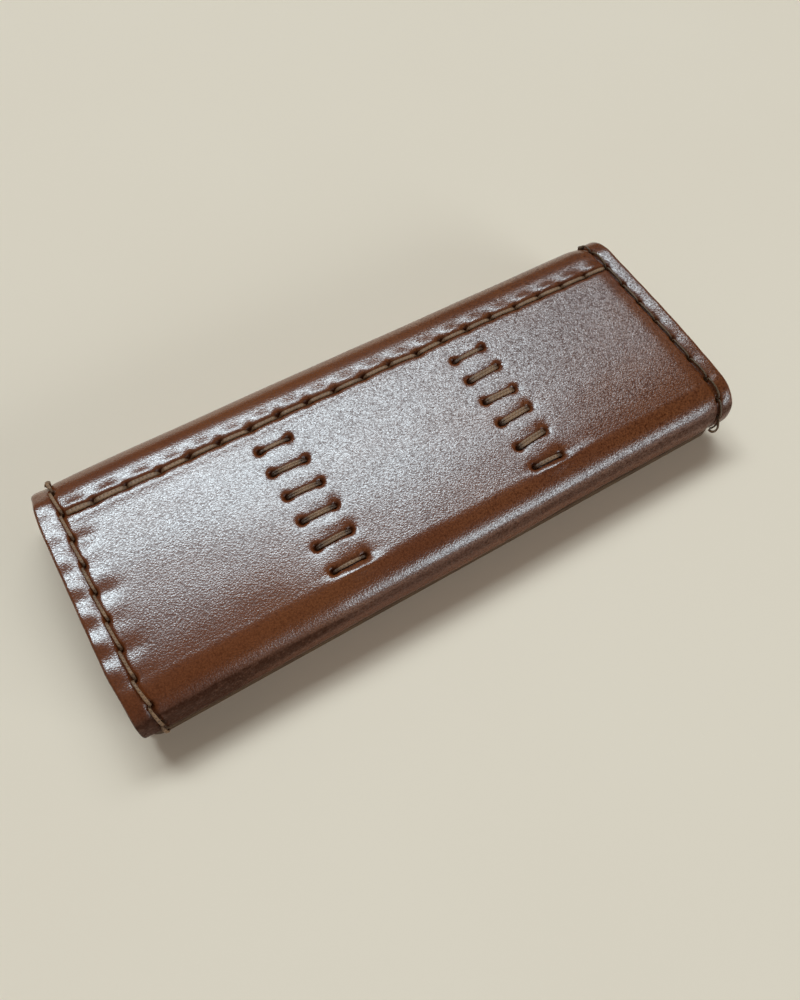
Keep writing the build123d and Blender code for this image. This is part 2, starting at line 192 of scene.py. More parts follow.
def closed_sheet(name, O, I, ii, jj, materials, raw=None, painted_shade=None, raw_in=None,
                 flip=False, sharp=()):
    """A sheet of leather with two faces and four cut edges. O holds the outer
    face's points by line, I the inner face's, on the lines ii and jj of O."""
    nx, ns = O.shape[:2]
    mx, ms = I.shape[:2]
    verts = np.concatenate([O.reshape(-1, 3), I.reshape(-1, 3)])
    base = nx * ns
    i, j = np.meshgrid(np.arange(nx - 1), np.arange(ns - 1), indexing="ij")
    a = (i * ns + j).ravel()
    outer = np.stack([a, a + ns, a + ns + 1, a + 1], 1)
    i, j = np.meshgrid(np.arange(mx - 1), np.arange(ms - 1), indexing="ij")
    a = (base + i * ms + j).ravel()
    inner = np.stack([a, a + 1, a + ms + 1, a + ms], 1)
    faces = outer.tolist() + inner.tolist()
    mats = [0] * len(outer) + [2] * len(inner)
    o = lambda i, j: i * ns + j
    n = lambda k, l: base + k * ms + l
    edges = []
    for k in range(mx - 1):
        a, b = ii[k], ii[k + 1]
        f0 = [o(q, 0) for q in range(b, a - 1, -1)] + [n(k, 0), n(k + 1, 0)]
        f1 = [o(q, ns - 1) for q in range(a, b + 1)] + [n(k + 1, ms - 1), n(k, ms - 1)]
        faces += [f0, f1]
        if "s0" in sharp:
            edges += list(zip(f0, f0[1:] + f0[:1]))
        if "s1" in sharp:
            edges += list(zip(f1, f1[1:] + f1[:1]))
    for l in range(ms - 1):
        a, b = jj[l], jj[l + 1]
        faces.append([o(0, q) for q in range(a, b + 1)] + [n(0, l + 1), n(0, l)])
        faces.append([o(nx - 1, q) for q in range(b, a - 1, -1)] + [n(mx - 1, l), n(mx - 1, l + 1)])
    mats += [1] * (len(faces) - len(mats))
    if flip:
        faces = [f[::-1] for f in faces]
    obj = new_object(name, verts, faces, materials, mats)
    zeros = np.zeros(nx * ns)
    rin = np.zeros(mx * ms) if raw_in is None else raw_in.ravel()
    set_attribute(obj, "raw", np.concatenate([zeros if raw is None else raw.ravel(), rin]))
    set_attribute(obj, "painted_shade", np.concatenate([zeros if painted_shade is None else painted_shade.ravel(), np.zeros(mx * ms)]))
    if edges:
        wanted = {tuple(sorted(e)) for e in edges}
        flags = [tuple(sorted(e.vertices)) in wanted for e in obj.data.edges]
        sh = obj.data.attributes.get("sharp_edge") or obj.data.attributes.new("sharp_edge", "BOOLEAN", "EDGE")
        sh.data.foreach_set("value", flags)
    return obj


def grid_normals(P):
    du = np.gradient(P, axis=0)
    dv = np.gradient(P, axis=1)
    n = np.cross(du, dv)
    return n / np.maximum(np.linalg.norm(n, axis=2, keepdims=True), 1e-12)


def smooth_path(points, sides, extra, radius, step=0.22):
    """Rounds the corners of a run of points. Returns points, width directions
    and the extra value at each, evenly close."""
    P = [np.asarray(p, float) for p in points]
    out, so, eo = [P[0]], [np.asarray(sides[0], float)], [extra[0]]
    for k in range(1, len(P)):
        a, b = P[k - 1], P[k]
        length = np.linalg.norm(b - a)
        d0 = min(radius, 0.45 * length) if k > 1 else 0.0
        d1 = min(radius, 0.45 * length) if k < len(P) - 1 else 0.0
        t = (b - a) / max(length, 1e-9)
        m = max(1, int((length - d0 - d1) / step))
        for q in range(m + 1):
            f = (d0 + (length - d0 - d1) * q / m) / max(length, 1e-9)
            out.append(a + t * length * f)
            so.append(np.asarray(sides[k - 1]) * (1 - f) + np.asarray(sides[k]) * f)
            eo.append(extra[k - 1] * (1 - f) + extra[k] * f)
        if k < len(P) - 1:
            c = P[k + 1]
            l2 = np.linalg.norm(c - b)
            e1 = min(radius, 0.45 * l2)
            p0, p2 = b - t * d1, b + (c - b) / max(l2, 1e-9) * e1
            for f in (0.25, 0.5, 0.75):
                out.append(p0 * (1 - f) ** 2 + 2 * b * f * (1 - f) + p2 * f * f)
                so.append(np.asarray(sides[k]))
                eo.append(extra[k])
    out, so, eo = np.array(out), np.array(so), np.array(eo)
    keep = np.concatenate([[True], np.linalg.norm(np.diff(out, axis=0), axis=1) > 1e-4])
    return out[keep], so[keep], eo[keep]


def ribbons(name, runs, material, sections=12):
    """Flat waxed threads. Each run is (points, width directions, extra value,
    width, thickness), swept as a closed tube with rounded edges."""
    verts, faces, uv, deep = [], [], [], []
    for P, side, extra, w, t in runs:
        T = np.gradient(P, axis=0)
        T /= np.maximum(np.linalg.norm(T, axis=1, keepdims=True), 1e-9)
        S = side - np.sum(side * T, 1, keepdims=True) * T
        S /= np.maximum(np.linalg.norm(S, axis=1, keepdims=True), 1e-9)
        N = np.cross(T, S)
        a = np.arange(sections) / sections * 2 * math.pi
        cx = np.sign(np.cos(a)) * np.abs(np.cos(a)) ** 0.72
        cy = np.sign(np.sin(a)) * np.abs(np.sin(a)) ** 0.72
        s = np.concatenate([[0], np.cumsum(np.linalg.norm(np.diff(P, axis=0), axis=1))])
        wob = 1 + 0.06 * np.sin(s * 1.9 + 3 * P[0, 0]) + 0.04 * np.sin(s * 5.3)
        ww = w * wob * (1 - 0.22 * extra)
        ring = (P[:, None, :] + S[:, None, :] * (cx[None, :, None] * (ww / 2)[:, None, None])
                + N[:, None, :] * (cy[None, :, None] * t / 2))
        base = sum(len(v) for v in verts)
        n, m = len(P), sections
        verts.append(ring.reshape(-1, 3))
        # The extra value is painted shade, kept as the deep attribute; it also narrows the thread.
        deep.append(np.repeat(extra, m))
        for k in range(n - 1):
            for q in range(m):
                q1 = (q + 1) % m
                faces.append([base + k * m + q, base + k * m + q1, base + (k + 1) * m + q1,
                              base + (k + 1) * m + q])
                v0, v1 = q / m, (q + 1) / m
                uv += [(s[k], v0), (s[k], v1), (s[k + 1], v1), (s[k + 1], v0)]
        faces.append([base + q for q in range(m - 1, -1, -1)])
        uv += [(s[0], 0.0)] * m
        faces.append([base + (n - 1) * m + q for q in range(m)])
        uv += [(s[-1], 0.0)] * m
    obj = new_object(name, np.concatenate(verts), faces, [material])
    layer = obj.data.uv_layers.new(name="UVMap")
    layer.data.foreach_set("uv", np.array(uv, np.float32).ravel())
    set_attribute(obj, "deep", np.clip(np.concatenate(deep), 0, 1))
    return obj


# ------------------------------------------------------------------- materials
def node_tree(name):
    mat = bpy.data.materials.new(name)
    mat.use_nodes = True
    nt = mat.node_tree
    nt.nodes.clear()
    out = nt.nodes.new("ShaderNodeOutputMaterial")
    bsdf = nt.nodes.new("ShaderNodeBsdfPrincipled")
    nt.links.new(bsdf.outputs["BSDF"], out.inputs["Surface"])
    return mat, nt, bsdf


class Tree:
    """Short names for the nodes used below."""

    def __init__(self, nt):
        self.nt = nt

    def link(self, value, socket):
        if isinstance(value, bpy.types.NodeSocket):
            self.nt.links.new(value, socket)
        else:
            socket.default_value = value

    def coords(self, kind="Object"):
        return self.nt.nodes.new("ShaderNodeTexCoord").outputs[kind]

    def attribute(self, name):
        n = self.nt.nodes.new("ShaderNodeAttribute")
        n.attribute_name = name
        return n.outputs["Fac"]

    def mapping(self, vector, scale=(1, 1, 1), rotation=(0, 0, 0)):
        n = self.nt.nodes.new("ShaderNodeMapping")
        n.inputs["Scale"].default_value = scale
        n.inputs["Rotation"].default_value = rotation
        self.link(vector, n.inputs["Vector"])
        return n.outputs["Vector"]

    def noise(self, vector, scale, detail=3.0, rough=0.55, distortion=0.0):
        n = self.nt.nodes.new("ShaderNodeTexNoise")
        n.inputs["Scale"].default_value = scale
        n.inputs["Detail"].default_value = detail
        n.inputs["Roughness"].default_value = rough
        n.inputs["Distortion"].default_value = distortion
        self.link(vector, n.inputs["Vector"])
        return n.outputs["Fac"]

    def noise_vector(self, vector, scale, detail=1.0):
        n = self.nt.nodes.new("ShaderNodeTexNoise")
        n.inputs["Scale"].default_value = scale
        n.inputs["Detail"].default_value = detail
        self.link(vector, n.inputs["Vector"])
        return n.outputs["Color"]

    def voronoi(self, vector, scale, feature="F1", randomness=1.0, smooth=0.3):
        n = self.nt.nodes.new("ShaderNodeTexVoronoi")
        n.feature = feature
        n.inputs["Scale"].default_value = scale
        n.inputs["Randomness"].default_value = randomness
        if feature == "SMOOTH_F1":
            n.inputs["Smoothness"].default_value = smooth
        self.link(vector, n.inputs["Vector"])
        return n.outputs["Distance"]

    def math(self, op, a, b=0.0, c=0.0, clamp=False):
        n = self.nt.nodes.new("ShaderNodeMath")
        n.operation = op
        n.use_clamp = clamp
        self.link(a, n.inputs[0])
        self.link(b, n.inputs[1])
        if op in ("MULTIPLY_ADD",):
            self.link(c, n.inputs[2])
        return n.outputs[0]

    def vec(self, op, a, b):
        n = self.nt.nodes.new("ShaderNodeVectorMath")
        n.operation = op
        self.link(a, n.inputs[0])
        if op == "SCALE":
            self.link(b, n.inputs["Scale"])
        else:
            self.link(b, n.inputs[1])
        return n.outputs[0]

    def range(self, value, a, b, c, d):
        n = self.nt.nodes.new("ShaderNodeMapRange")
        n.inputs["From Min"].default_value = a
        n.inputs["From Max"].default_value = b
        n.inputs["To Min"].default_value = c
        n.inputs["To Max"].default_value = d
        self.link(value, n.inputs["Value"])
        return n.outputs["Result"]

    def ramp(self, value, stops):
        n = self.nt.nodes.new("ShaderNodeValToRGB")
        cr = n.color_ramp
        cr.elements[0].position, cr.elements[0].color = stops[0][0], (*stops[0][1], 1)
        cr.elements[1].position, cr.elements[1].color = stops[-1][0], (*stops[-1][1], 1)
        for p, c in stops[1:-1]:
            e = cr.elements.new(p)
            e.color = (*c, 1)
        self.link(value, n.inputs["Fac"])
        return n.outputs["Color"]

    def mix(self, fac, a, b, blend="MIX"):
        n = self.nt.nodes.new("ShaderNodeMix")
        n.data_type = "RGBA"
        n.blend_type = blend
        self.link(fac, n.inputs["Factor"])
        for value, key in ((a, "A"), (b, "B")):
            sock = [s for s in n.inputs if s.name == key and s.type == "RGBA"][0]
            if isinstance(value, tuple):
                sock.default_value = (*value, 1)
            else:
                self.nt.links.new(value, sock)
        return [s for s in n.outputs if s.type == "RGBA"][0]

    def bump(self, height, distance, strength=1.0, normal=None):
        n = self.nt.nodes.new("ShaderNodeBump")
        n.inputs["Strength"].default_value = strength
        n.inputs["Distance"].default_value = distance
        self.link(height, n.inputs["Height"])
        if normal is not None:
            self.nt.links.new(normal, n.inputs["Normal"])
        return n.outputs["Normal"]


def leather_finish():
    """Polished, waxed cowhide, grain side: fine pebble, dyed red-brown."""
    mat, nt, bsdf = node_tree("leather_polished")
    t = Tree(nt)
    co = t.coords()
    warp = t.vec("SCALE", t.vec("SUBTRACT", t.noise_vector(co, 2200, 2.0), (0.5, 0.5, 0.5)), 0.00016)
    cw = t.vec("ADD", co, warp)
    pebble = t.voronoi(cw, 3300, "SMOOTH_F1", 0.9, 0.25)
    cell = t.voronoi(cw, 3300, "F1", 0.9)
    small = t.voronoi(cw, 6400, "F1", 1.0)
    fine = t.noise(co, 3900, 2.0, 0.6)
    broad = t.noise(co, 900, 3.0, 0.55)
    patch = t.noise(co, 60, 3.0, 0.6)
    tint = t.noise(t.mapping(co, (0.55, 1.3, 1.0)), 38, 4.0, 0.6, 0.4)
    raw = t.attribute("raw")
    # painted_shade: shade painted into the colour in holes, grooves, dents and on the front wall; it also dulls and
    # roughens the gloss there.
    painted_shade = t.math("MULTIPLY", t.attribute("painted_shade"), t.range(t.noise(co, 1500, 3.0, 0.6), 0.3, 0.7, 0.84, 1.16), clamp=True)
    base = t.ramp(tint, [(0.25, (0.138, 0.028, 0.0048)), (0.48, (0.180, 0.041, 0.0068)),
                         (0.62, (0.212, 0.053, 0.0086)), (0.8, (0.154, 0.033, 0.0054))])
    along = nt.nodes.new("ShaderNodeSeparateXYZ")
    t.link(co, along.inputs[0])
    along = t.range(along.outputs["X"], -0.030, 0.035, 0.0, 1.0)
    crease = t.math("ADD", t.range(cell, 0.40, 0.74, 0.0, 0.50), t.range(fine, 0.40, 0.66, 0.0, 0.48), clamp=True)
    crease = t.math("MULTIPLY", crease, t.math("ADD", 0.74, t.math("MULTIPLY", along, 0.26)))
    coarse = t.range(t.noise(co, 1900, 2.0, 0.6), 0.44, 0.62, 0.0, 0.26)
    crease = t.math("ADD", crease, t.math("MULTIPLY", coarse, along), clamp=True)
    grainy = t.mix(t.math("MULTIPLY", crease, 0.85), base, (0.055, 0.011, 0.0030))
    # Painted shade mixed into the colour.
    dark = t.mix(t.math("MULTIPLY", t.math("MULTIPLY", painted_shade, painted_shade), 0.80), grainy, (0.028, 0.0072, 0.0028))
    fibre = t.ramp(t.noise(co, 2600, 4.0, 0.7), [(0.3, (0.085, 0.040, 0.016)), (0.7, (0.24, 0.145, 0.068))])
    colour = t.mix(t.math("MULTIPLY", raw, 0.9, clamp=True), dark, fibre)
    t.link(colour, bsdf.inputs["Base Color"])
    rough = t.math("ADD", t.range(patch, 0.3, 0.7, 0.165, 0.225), t.math("MULTIPLY", crease, 0.14))
    rough = t.math("ADD", rough, t.math("MULTIPLY", raw, 0.3))
    rough = t.math("ADD", rough, t.math("MULTIPLY", painted_shade, 0.22), clamp=True)
    t.link(rough, bsdf.inputs["Roughness"])
    bsdf.inputs["IOR"].default_value = 1.60
    sheen = t.math("SUBTRACT", 1.0, t.math("MULTIPLY", painted_shade, 0.90))
    t.link(t.math("MULTIPLY", sheen, t.math("SUBTRACT", 1.0, t.math("MULTIPLY", crease, 0.92))),
           bsdf.inputs["Specular IOR Level"])
    t.link(t.math("MULTIPLY", sheen, 0.12), bsdf.inputs["Coat Weight"])
    bsdf.inputs["Coat Roughness"].default_value = 0.14
    height = t.math("ADD", t.math("MULTIPLY", pebble, -1.0), t.math("MULTIPLY", small, -0.30))
    height = t.math("ADD", height, t.math("MULTIPLY", fine, 0.40))
    height = t.math("ADD", height, t.math("MULTIPLY", broad, 0.35))
    t.link(t.bump(height, 0.000021, 1.0), bsdf.inputs["Normal"])
    return mat


def edge_finish(name="leather_cut_edge"):
    """Cut edge of the leather, burnished with a slicker: pressed fibres."""
    mat, nt, bsdf = node_tree(name)
    t = Tree(nt)
    co = t.coords()
    layers = t.noise(t.mapping(co, (1.0, 1.0, 1.0)), 1900, 5.0, 0.7)
    long = t.noise(co, 160, 3.0, 0.6)
    colour = t.ramp(layers, [(0.3, (0.060, 0.026, 0.011)), (0.52, (0.135, 0.068, 0.028)), (0.75, (0.24, 0.145, 0.07))])
    colour = t.mix(t.range(long, 0.35, 0.7, 0.0, 0.65), colour, (0.060, 0.022, 0.009))
    t.link(colour, bsdf.inputs["Base Color"])
    t.link(t.range(layers, 0.3, 0.7, 0.42, 0.68), bsdf.inputs["Roughness"])
    t.link(t.bump(layers, 0.00007, 1.0), bsdf.inputs["Normal"])
    return mat


def flesh_finish(name, dark, light, scale=1.0):
    """Flesh side of leather: short matted fibres, hardly any gloss."""
    mat, nt, bsdf = node_tree(name)
    t = Tree(nt)
    co = t.coords()
    nap = t.noise(co, 3200 * scale, 5.0, 0.75, 0.6)
    cloud = t.noise(co, 210, 4.0, 0.6, 0.3)
    hair = t.noise(t.mapping(co, (0.35, 1.6, 1.0), (0, 0, 0.5)), 1500, 4.0, 0.7, 1.2)
    mixv = t.math("ADD", t.math("MULTIPLY", nap, 0.5), t.math("MULTIPLY", cloud, 0.5))
    colour = t.ramp(mixv, [(0.34, dark), (0.62, light)])
    # Painted shade round the stitch holes darkens the colour.
    colour = t.mix(t.math("MULTIPLY", t.attribute("painted_shade"), 0.7, clamp=True), colour, tuple(c * 0.35 for c in dark))
    t.link(colour, bsdf.inputs["Base Color"])
    t.link(t.range(hair, 0.3, 0.7, 0.72, 0.95), bsdf.inputs["Roughness"])
    bsdf.inputs["Specular IOR Level"].default_value = 0.25
    bsdf.inputs["Sheen Weight"].default_value = 0.25
    bsdf.inputs["Sheen Roughness"].default_value = 0.5
    t.link(t.bump(t.math("ADD", nap, hair), 0.00009, 1.0), bsdf.inputs["Normal"])
    return mat


def thread_finish(name, light, dark, lay=2.0):
    """Flat waxed thread: braided strands under wax, with painted shade where it dives into the holes."""
    mat, nt, bsdf = node_tree(name)
    t = Tree(nt)
    uv = nt.nodes.new("ShaderNodeUVMap")
    uv.uv_map = "UVMap"
    sep = nt.nodes.new("ShaderNodeSeparateXYZ")
    nt.links.new(uv.outputs["UV"], sep.inputs[0])
    along, around = sep.outputs["X"], sep.outputs["Y"]
    co = t.coords()
    jitter = t.noise(co, 1500, 2.0, 0.6)
    turn = t.math("ADD", t.math("MULTIPLY", along, 2 * math.pi / 0.62),
                  t.math("MULTIPLY", around, 2 * math.pi * lay))
    turn = t.math("ADD", turn, t.math("MULTIPLY", jitter, 1.6))
    cord_a = t.math("ABSOLUTE", t.math("SINE", t.math("MULTIPLY", turn, 0.5)))
    back = t.math("SUBTRACT", t.math("MULTIPLY", along, 2 * math.pi / 0.62),
                  t.math("MULTIPLY", around, 2 * math.pi * lay))
    cord_b = t.math("ABSOLUTE", t.math("SINE", t.math("MULTIPLY", back, 0.5)))
    weave = t.math("MAXIMUM", cord_a, t.math("MULTIPLY", cord_b, 0.8))
    fuzz = t.noise(co, 4200, 3.0, 0.7)
    stain = t.noise(co, 340, 3.0, 0.6)
    colour = t.ramp(t.math("ADD", t.math("MULTIPLY", weave, 0.55), t.math("MULTIPLY", fuzz, 0.45)),
                    [(0.28, dark), (0.62, light)])
    colour = t.mix(t.range(stain, 0.4, 0.72, 0.0, 0.45), colour, tuple(c * 0.5 for c in dark))
    # Painted shade: the deep attribute darkens the thread where it dives into holes or lies sunk.
    colour = t.mix(t.math("MULTIPLY", t.attribute("deep"), 0.9, clamp=True), colour, (0.032, 0.012, 0.0055))
    t.link(colour, bsdf.inputs["Base Color"])
    t.link(t.range(fuzz, 0.3, 0.7, 0.42, 0.62), bsdf.inputs["Roughness"])
    bsdf.inputs["Specular IOR Level"].default_value = 0.42
    t.link(t.bump(t.math("ADD", weave, t.math("MULTIPLY", fuzz, 0.35)), 0.00006, 1.0), bsdf.inputs["Normal"])
    return mat


def magnet_finish():
    """Nickel-plated magnet bars: fine brushed plate with dull patches."""
    mat, nt, bsdf = node_tree("magnet_nickel")
    t = Tree(nt)
    co = t.coords()
    brush = t.noise(t.mapping(co, (0.05, 1.0, 1.0)), 5200, 3.0, 0.6)
    blot = t.noise(co, 420, 3.0, 0.6)
    t.link(t.ramp(blot, [(0.3, (0.46, 0.45, 0.43)), (0.7, (0.62, 0.61, 0.58))]), bsdf.inputs["Base Color"])
    bsdf.inputs["Metallic"].default_value = 1.0
    t.link(t.math("ADD", t.range(brush, 0.3, 0.7, 0.18, 0.34), t.range(blot, 0.5, 0.8, 0.0, 0.12)), bsdf.inputs["Roughness"])
    t.link(t.bump(brush, 0.00001, 0.6), bsdf.inputs["Normal"])
    return mat


LEATHER = leather_finish()
EDGE = edge_finish()
FLESH = flesh_finish("leather_flesh_side", (0.070, 0.032, 0.014), (0.165, 0.088, 0.042))
LINING = flesh_finish("lining_suede", (0.060, 0.030, 0.016), (0.120, 0.066, 0.036), 1.3)
THREAD = thread_finish("thread_waxed", (0.305, 0.163, 0.083), (0.115, 0.056, 0.025))
# A darker copy of the waxed thread: painted shade for the thread sunk in the right end's groove.
THREAD_PAINTED_SHADE = thread_finish("thread_waxed_painted_shade", (0.185, 0.105, 0.052), (0.070, 0.036, 0.017))
MAGNET = magnet_finish()
WRAP_MATS = [LEATHER, EDGE, FLESH]
LINING_MATS = [LINING, EDGE, LINING]


# --------------------------------------------------------- shape of the leather
def waves(X, U, seed, amount, length):
    """A smooth random swell of the hide."""
    g = np.random.default_rng(seed)
    out = np.zeros_like(X)
    for _ in range(9):
        a = g.uniform(0, math.pi)
        k = 2 * math.pi / (length * g.uniform(0.7, 1.6))
        out += np.sin(k * (np.cos(a) * X + np.sin(a) * U) + g.uniform(0, 6.28)) * g.uniform(0.5, 1)
    return out * amount / 3.0


def tray_relief(X, U):
    """Height of the tray leather over its plain section, and the painted shade that darkens
    and dulls its colour in holes, grooves, dents and on the front wall. X and U are grids, in millimetres."""
    D = np.zeros_like(X)
    painted_shade = np.zeros_like(X)
    floor = 1 - ramp(np.abs(U), 15.2, 17.5)
    # --- long seam: sunk groove, holes, and puffs behind it
    inside = ramp(X, LINE_L - 0.2, LINE_L + 0.8) * (1 - ramp(X, LINE_R - 0.8, LINE_R + 0.2))
    sy = np.interp(X, [p[0] for p in SEAM], [p[1] for p in SEAM])
    # Painted shade: the colour is darkened along the groove and in and behind each hole.
    D -= 0.24 * G(U - sy, np.where(U > sy, 0.50, 0.36)) * inside
    painted_shade += 0.14 * G(U - sy, np.where(U > sy, 0.62, 0.42)) * inside
    D += 0.08 * G(U - sy + 1.25, 0.7) * inside
    for k, (hx, hy) in enumerate(SEAM[1:-1]):
        wide = 0.35 if k < 3 else (0.6 if k > 14 else 1.0)
        D -= 0.70 * G(X - hx, 0.50 + 0.25 * wide) * G(U - hy - 0.16, 0.50)
        D -= 0.20 * wide * G(X - hx, 1.0) * G(U - hy - 0.75, 1.0)
        painted_shade += 1.3 * G(X - hx, 0.60 + 0.32 * wide) * G(U - hy - 0.26, 0.46 + 0.24 * wide)
    for k in range(len(SEAM) - 1):
        mx = (SEAM[k][0] + SEAM[k + 1][0]) / 2
        my = (SEAM[k][1] + SEAM[k + 1][1]) / 2
        big = [0.26, 0.25, 0.20, 0.16, 0.14][k] if k < 5 else (0.22 if k > 15 else 0.13)
        D += big * G(X - mx, 1.75) * G(U - my - (1.0 if k < 4 else 1.2), 0.78)
    # --- end seams
    # Painted shade: the colour is darkened along both end grooves and round their holes.
    for side, line in ((-1, line_left), (1, line_right)):
        lx = line(U)
        e = (X - lx) * side                       # outward from the seam
        u0, pitch_u = 12.97, 4.737
        wave = 0.5 + 0.5 * np.cos(2 * math.pi * (U - u0 + pitch_u / 2) / pitch_u)   # 1 mid-stitch, 0 at holes
        if side < 0:
            D -= 0.20 * G(e, np.where(e > 0, 0.50, 0.36))
            painted_shade += 0.12 * G(e, 0.40)
            scallop = np.interp(U, [-24, -20, -17.5, -15, -12, -2, 6, 13], [0.0, 0.02, 0.11, 0.18, 0.21, 0.22, 0.16, 0.10])
            D += scallop * wave * ramp(e, 0.25, 1.9)
            D += 0.05 * ramp(e, 0.3, 2.0)
            D -= 0.20 * ramp(-U, 14.6, 17.5) * ramp(e, 0.2, 2.6)
            turn = ramp(U, 15.5, 19.5)
            D -= 0.42 * turn * ramp(e, -0.3, 1.2)
        else:
            D -= 0.46 * G(e + 0.12 * (wave - 0.5), np.where(e > 0, 0.40, 0.34))
            painted_shade += 0.70 * G(e + 0.12 * (wave - 0.5), 0.40)
            D -= 0.26 * ramp(e, -3.6, -0.2) ** 1.4 * (1 - ramp(e, 0.0, 2.6))
            D += 0.05 * wave * ramp(e, 0.2, 1.2)
            front = ramp(-U, 6.0, 20.0)
            D -= (0.04 + 0.16 * front) * ramp(e, 0.9, 3.3) ** 1.3
        for k, u in enumerate(END_U):
            hx = line(u)
            if side < 0:
                D -= 0.62 * G(X - hx - 0.16, 0.38) * G(U - u - 0.30, 0.66)
                painted_shade += 1.0 * G(X - hx - 0.18, 0.44) * G(U - u - 0.34, 0.74)
                D -= (0.24 if k in (3, 5) else (0.14 if k == 7 else 0.06)) * G(e + 1.5, 2.0) * G(U - u + 0.4, 1.45)
            else:
                D -= 0.50 * G(X - hx, 0.42) * G(U - u, 0.50)
                painted_shade += 0.95 * G(X - hx - 0.15, 0.62) * G(U - u, 0.46)
    # --- the two dividers' stitches
    # Painted shade: the colour is darkened along each stitch and round its holes.
    for side, rows in ROWS.items():
        for k, (a, b) in enumerate(rows):
            ax, ay = a
            bx, by = b
            f = np.clip((X - ax) / (bx - ax), 0, 1)
            yy = ay + (by - ay) * f
            on = ramp(X, ax - 0.5, ax + 0.3) * (1 - ramp(X, bx - 0.3, bx + 0.5))
            w = 0.42 if k in (0, 5) else 0.52
            D -= (0.14 if k == 0 else 0.18) * G(U - yy, w) * on
            painted_shade += 0.16 * G(U - yy, w) * on
            for hx, hy, sgn in ((ax, ay, -1), (bx, by, 1)):
                D -= 0.64 * G(X - hx - 0.05 * sgn, 0.46) * G(U - hy - 0.12, 0.46)
                D -= 0.12 * G(X - hx, 0.95) * G(U - hy, 0.95)
                D -= 0.30 * G(X - hx + 0.45 * sgn, 0.50) * G(U - hy, 0.46)
                pw = 0.0 if side == "left" or k in (0, 5) else 0.12
                painted_shade += 1.15 * G(X - hx + 0.05 * sgn, 0.66 - pw) * G(U - hy - 0.12, 0.64 - pw)
            if k > 2:                             # a dent behind the far hole
                D -= 0.10 * G(X - bx, 1.1) * G(U - by - 0.9, 1.0)
            if k < 5:
                ny_ = ((ay + by) / 2 + (rows[k + 1][0][1] + rows[k + 1][1][1]) / 2) / 2
                D += (0.05 if k < 3 else 0.10) * G(X - (ax + bx) / 2 - 0.8, 1.9) * G(U - ny_, 1.0)
        # puckers in front of the last two rows, where the edge begins to turn
        (ax, ay), (bx, by) = rows[4]
        D += 0.10 * G(X - (0.35 * ax + 0.65 * bx), 1.5) * G(U - (by - 1.15), 0.62)
        (ax, ay), (bx, by) = rows[5]
        cx = (ax + bx) / 2
        D -= 0.20 * G(X - cx, 3.4) * G(U - ay, 0.75)
        D += 0.34 * G(X - cx - 0.9, 2.9) * G(U - (ay - 1.65), 0.72)
        # Painted shade in the dent behind the last row.
        painted_shade += 0.25 * G(X - cx, 2.6) * G(U - ay, 0.55)
    # --- the hide itself
    wall = ramp(-U, 17.0, 24.0)
    # Painted shade: the colour is made darker and less glossy down the front round and wall, less at the wall's foot
    # where the floor's reflection shows, and more towards the left.
    painted_shade += 0.80 * ramp(-U, 21.2, 22.7) * (1 - 0.50 * ramp(-U, 23.3, 25.3))
    painted_shade += 0.28 * ramp(-U, 17.8, 20.0) * ramp(-X, 33.0, 43.0)
    painted_shade += 0.34 * ramp(-U, 19.9, 21.5) * ramp(-X, 16.0, 34.0)
    D -= 0.11 * ramp(-U, 12.0, 18.0) * (ramp(-X, 21.0, 30.0) + ramp(X, 12.0, 22.0))
    D += 0.13 * G(X - 25.2, 2.2) * G(U + 16.6, 1.1) + 0.07 * G(X + 14.5, 2.4) * G(U + 17.4, 1.0)
    bow = np.interp(X, [-50, -40, -30, -20, -12, 0, 10, 20, 28, 36, 45, 52],
                    [0.26, 0.16, 0.24, 0.50, 0.50, 0.32, 0.32, 0.50, 0.50, 0.36, 0.30, 0.22])
    D -= bow * ramp(-U, 21.0, 25.0)
    D += waves(X, U, 3, 0.045, 22.0) * (1 - 0.5 * wall)
    D += waves(X, U, 5, 0.018, 7.5) * floor
    # the floor is a little crowned from back to front, least over the dividers
    crown = np.interp(X, [-55, -48, -30, -22, -8, 4, 14, 24, 32, 55],
                      [1.0, 1.0, 0.95, 0.35, 0.20, 0.50, 0.55, 0.5, 1.0, 1.0])
    D -= 0.00125 * crown * np.clip(3.0 - U, 0, 18.6) ** 2 * (1 - 0.6 * wall)
    D -= 0.0006 * crown * np.clip(U - 3.0, 0, 12.6) ** 2
    D -= 0.10 * ramp(-U, 17.5, 22.0)              # the front round is a hair slack
    back = ramp(U, 14.0, 20.0)
    D += back * np.interp(X, [-55, -30, 20, 55], [-0.30, -0.12, 0.02, 0.12])
    return D, np.clip(painted_shade, 0, 1)


def edge_shift(X, U):
    """The left end's edge draws in where the leather turns down."""
    return (0.42 * ramp(U, 12.0, 18.5) + 0.34 * ramp(-U, 12.0, 18.5)) * ramp(-X, 52.6, HALF)


def skin_points(Xg, Ug, D):
    """Points on the wrap's section, D above it."""
    y, z, ny, nz = section(Ug.ravel())
    y, z, ny, nz = (a.reshape(Ug.shape) for a in (y, z, ny, nz))
    return np.stack([Xg, y + ny * D, z + nz * D], 2)


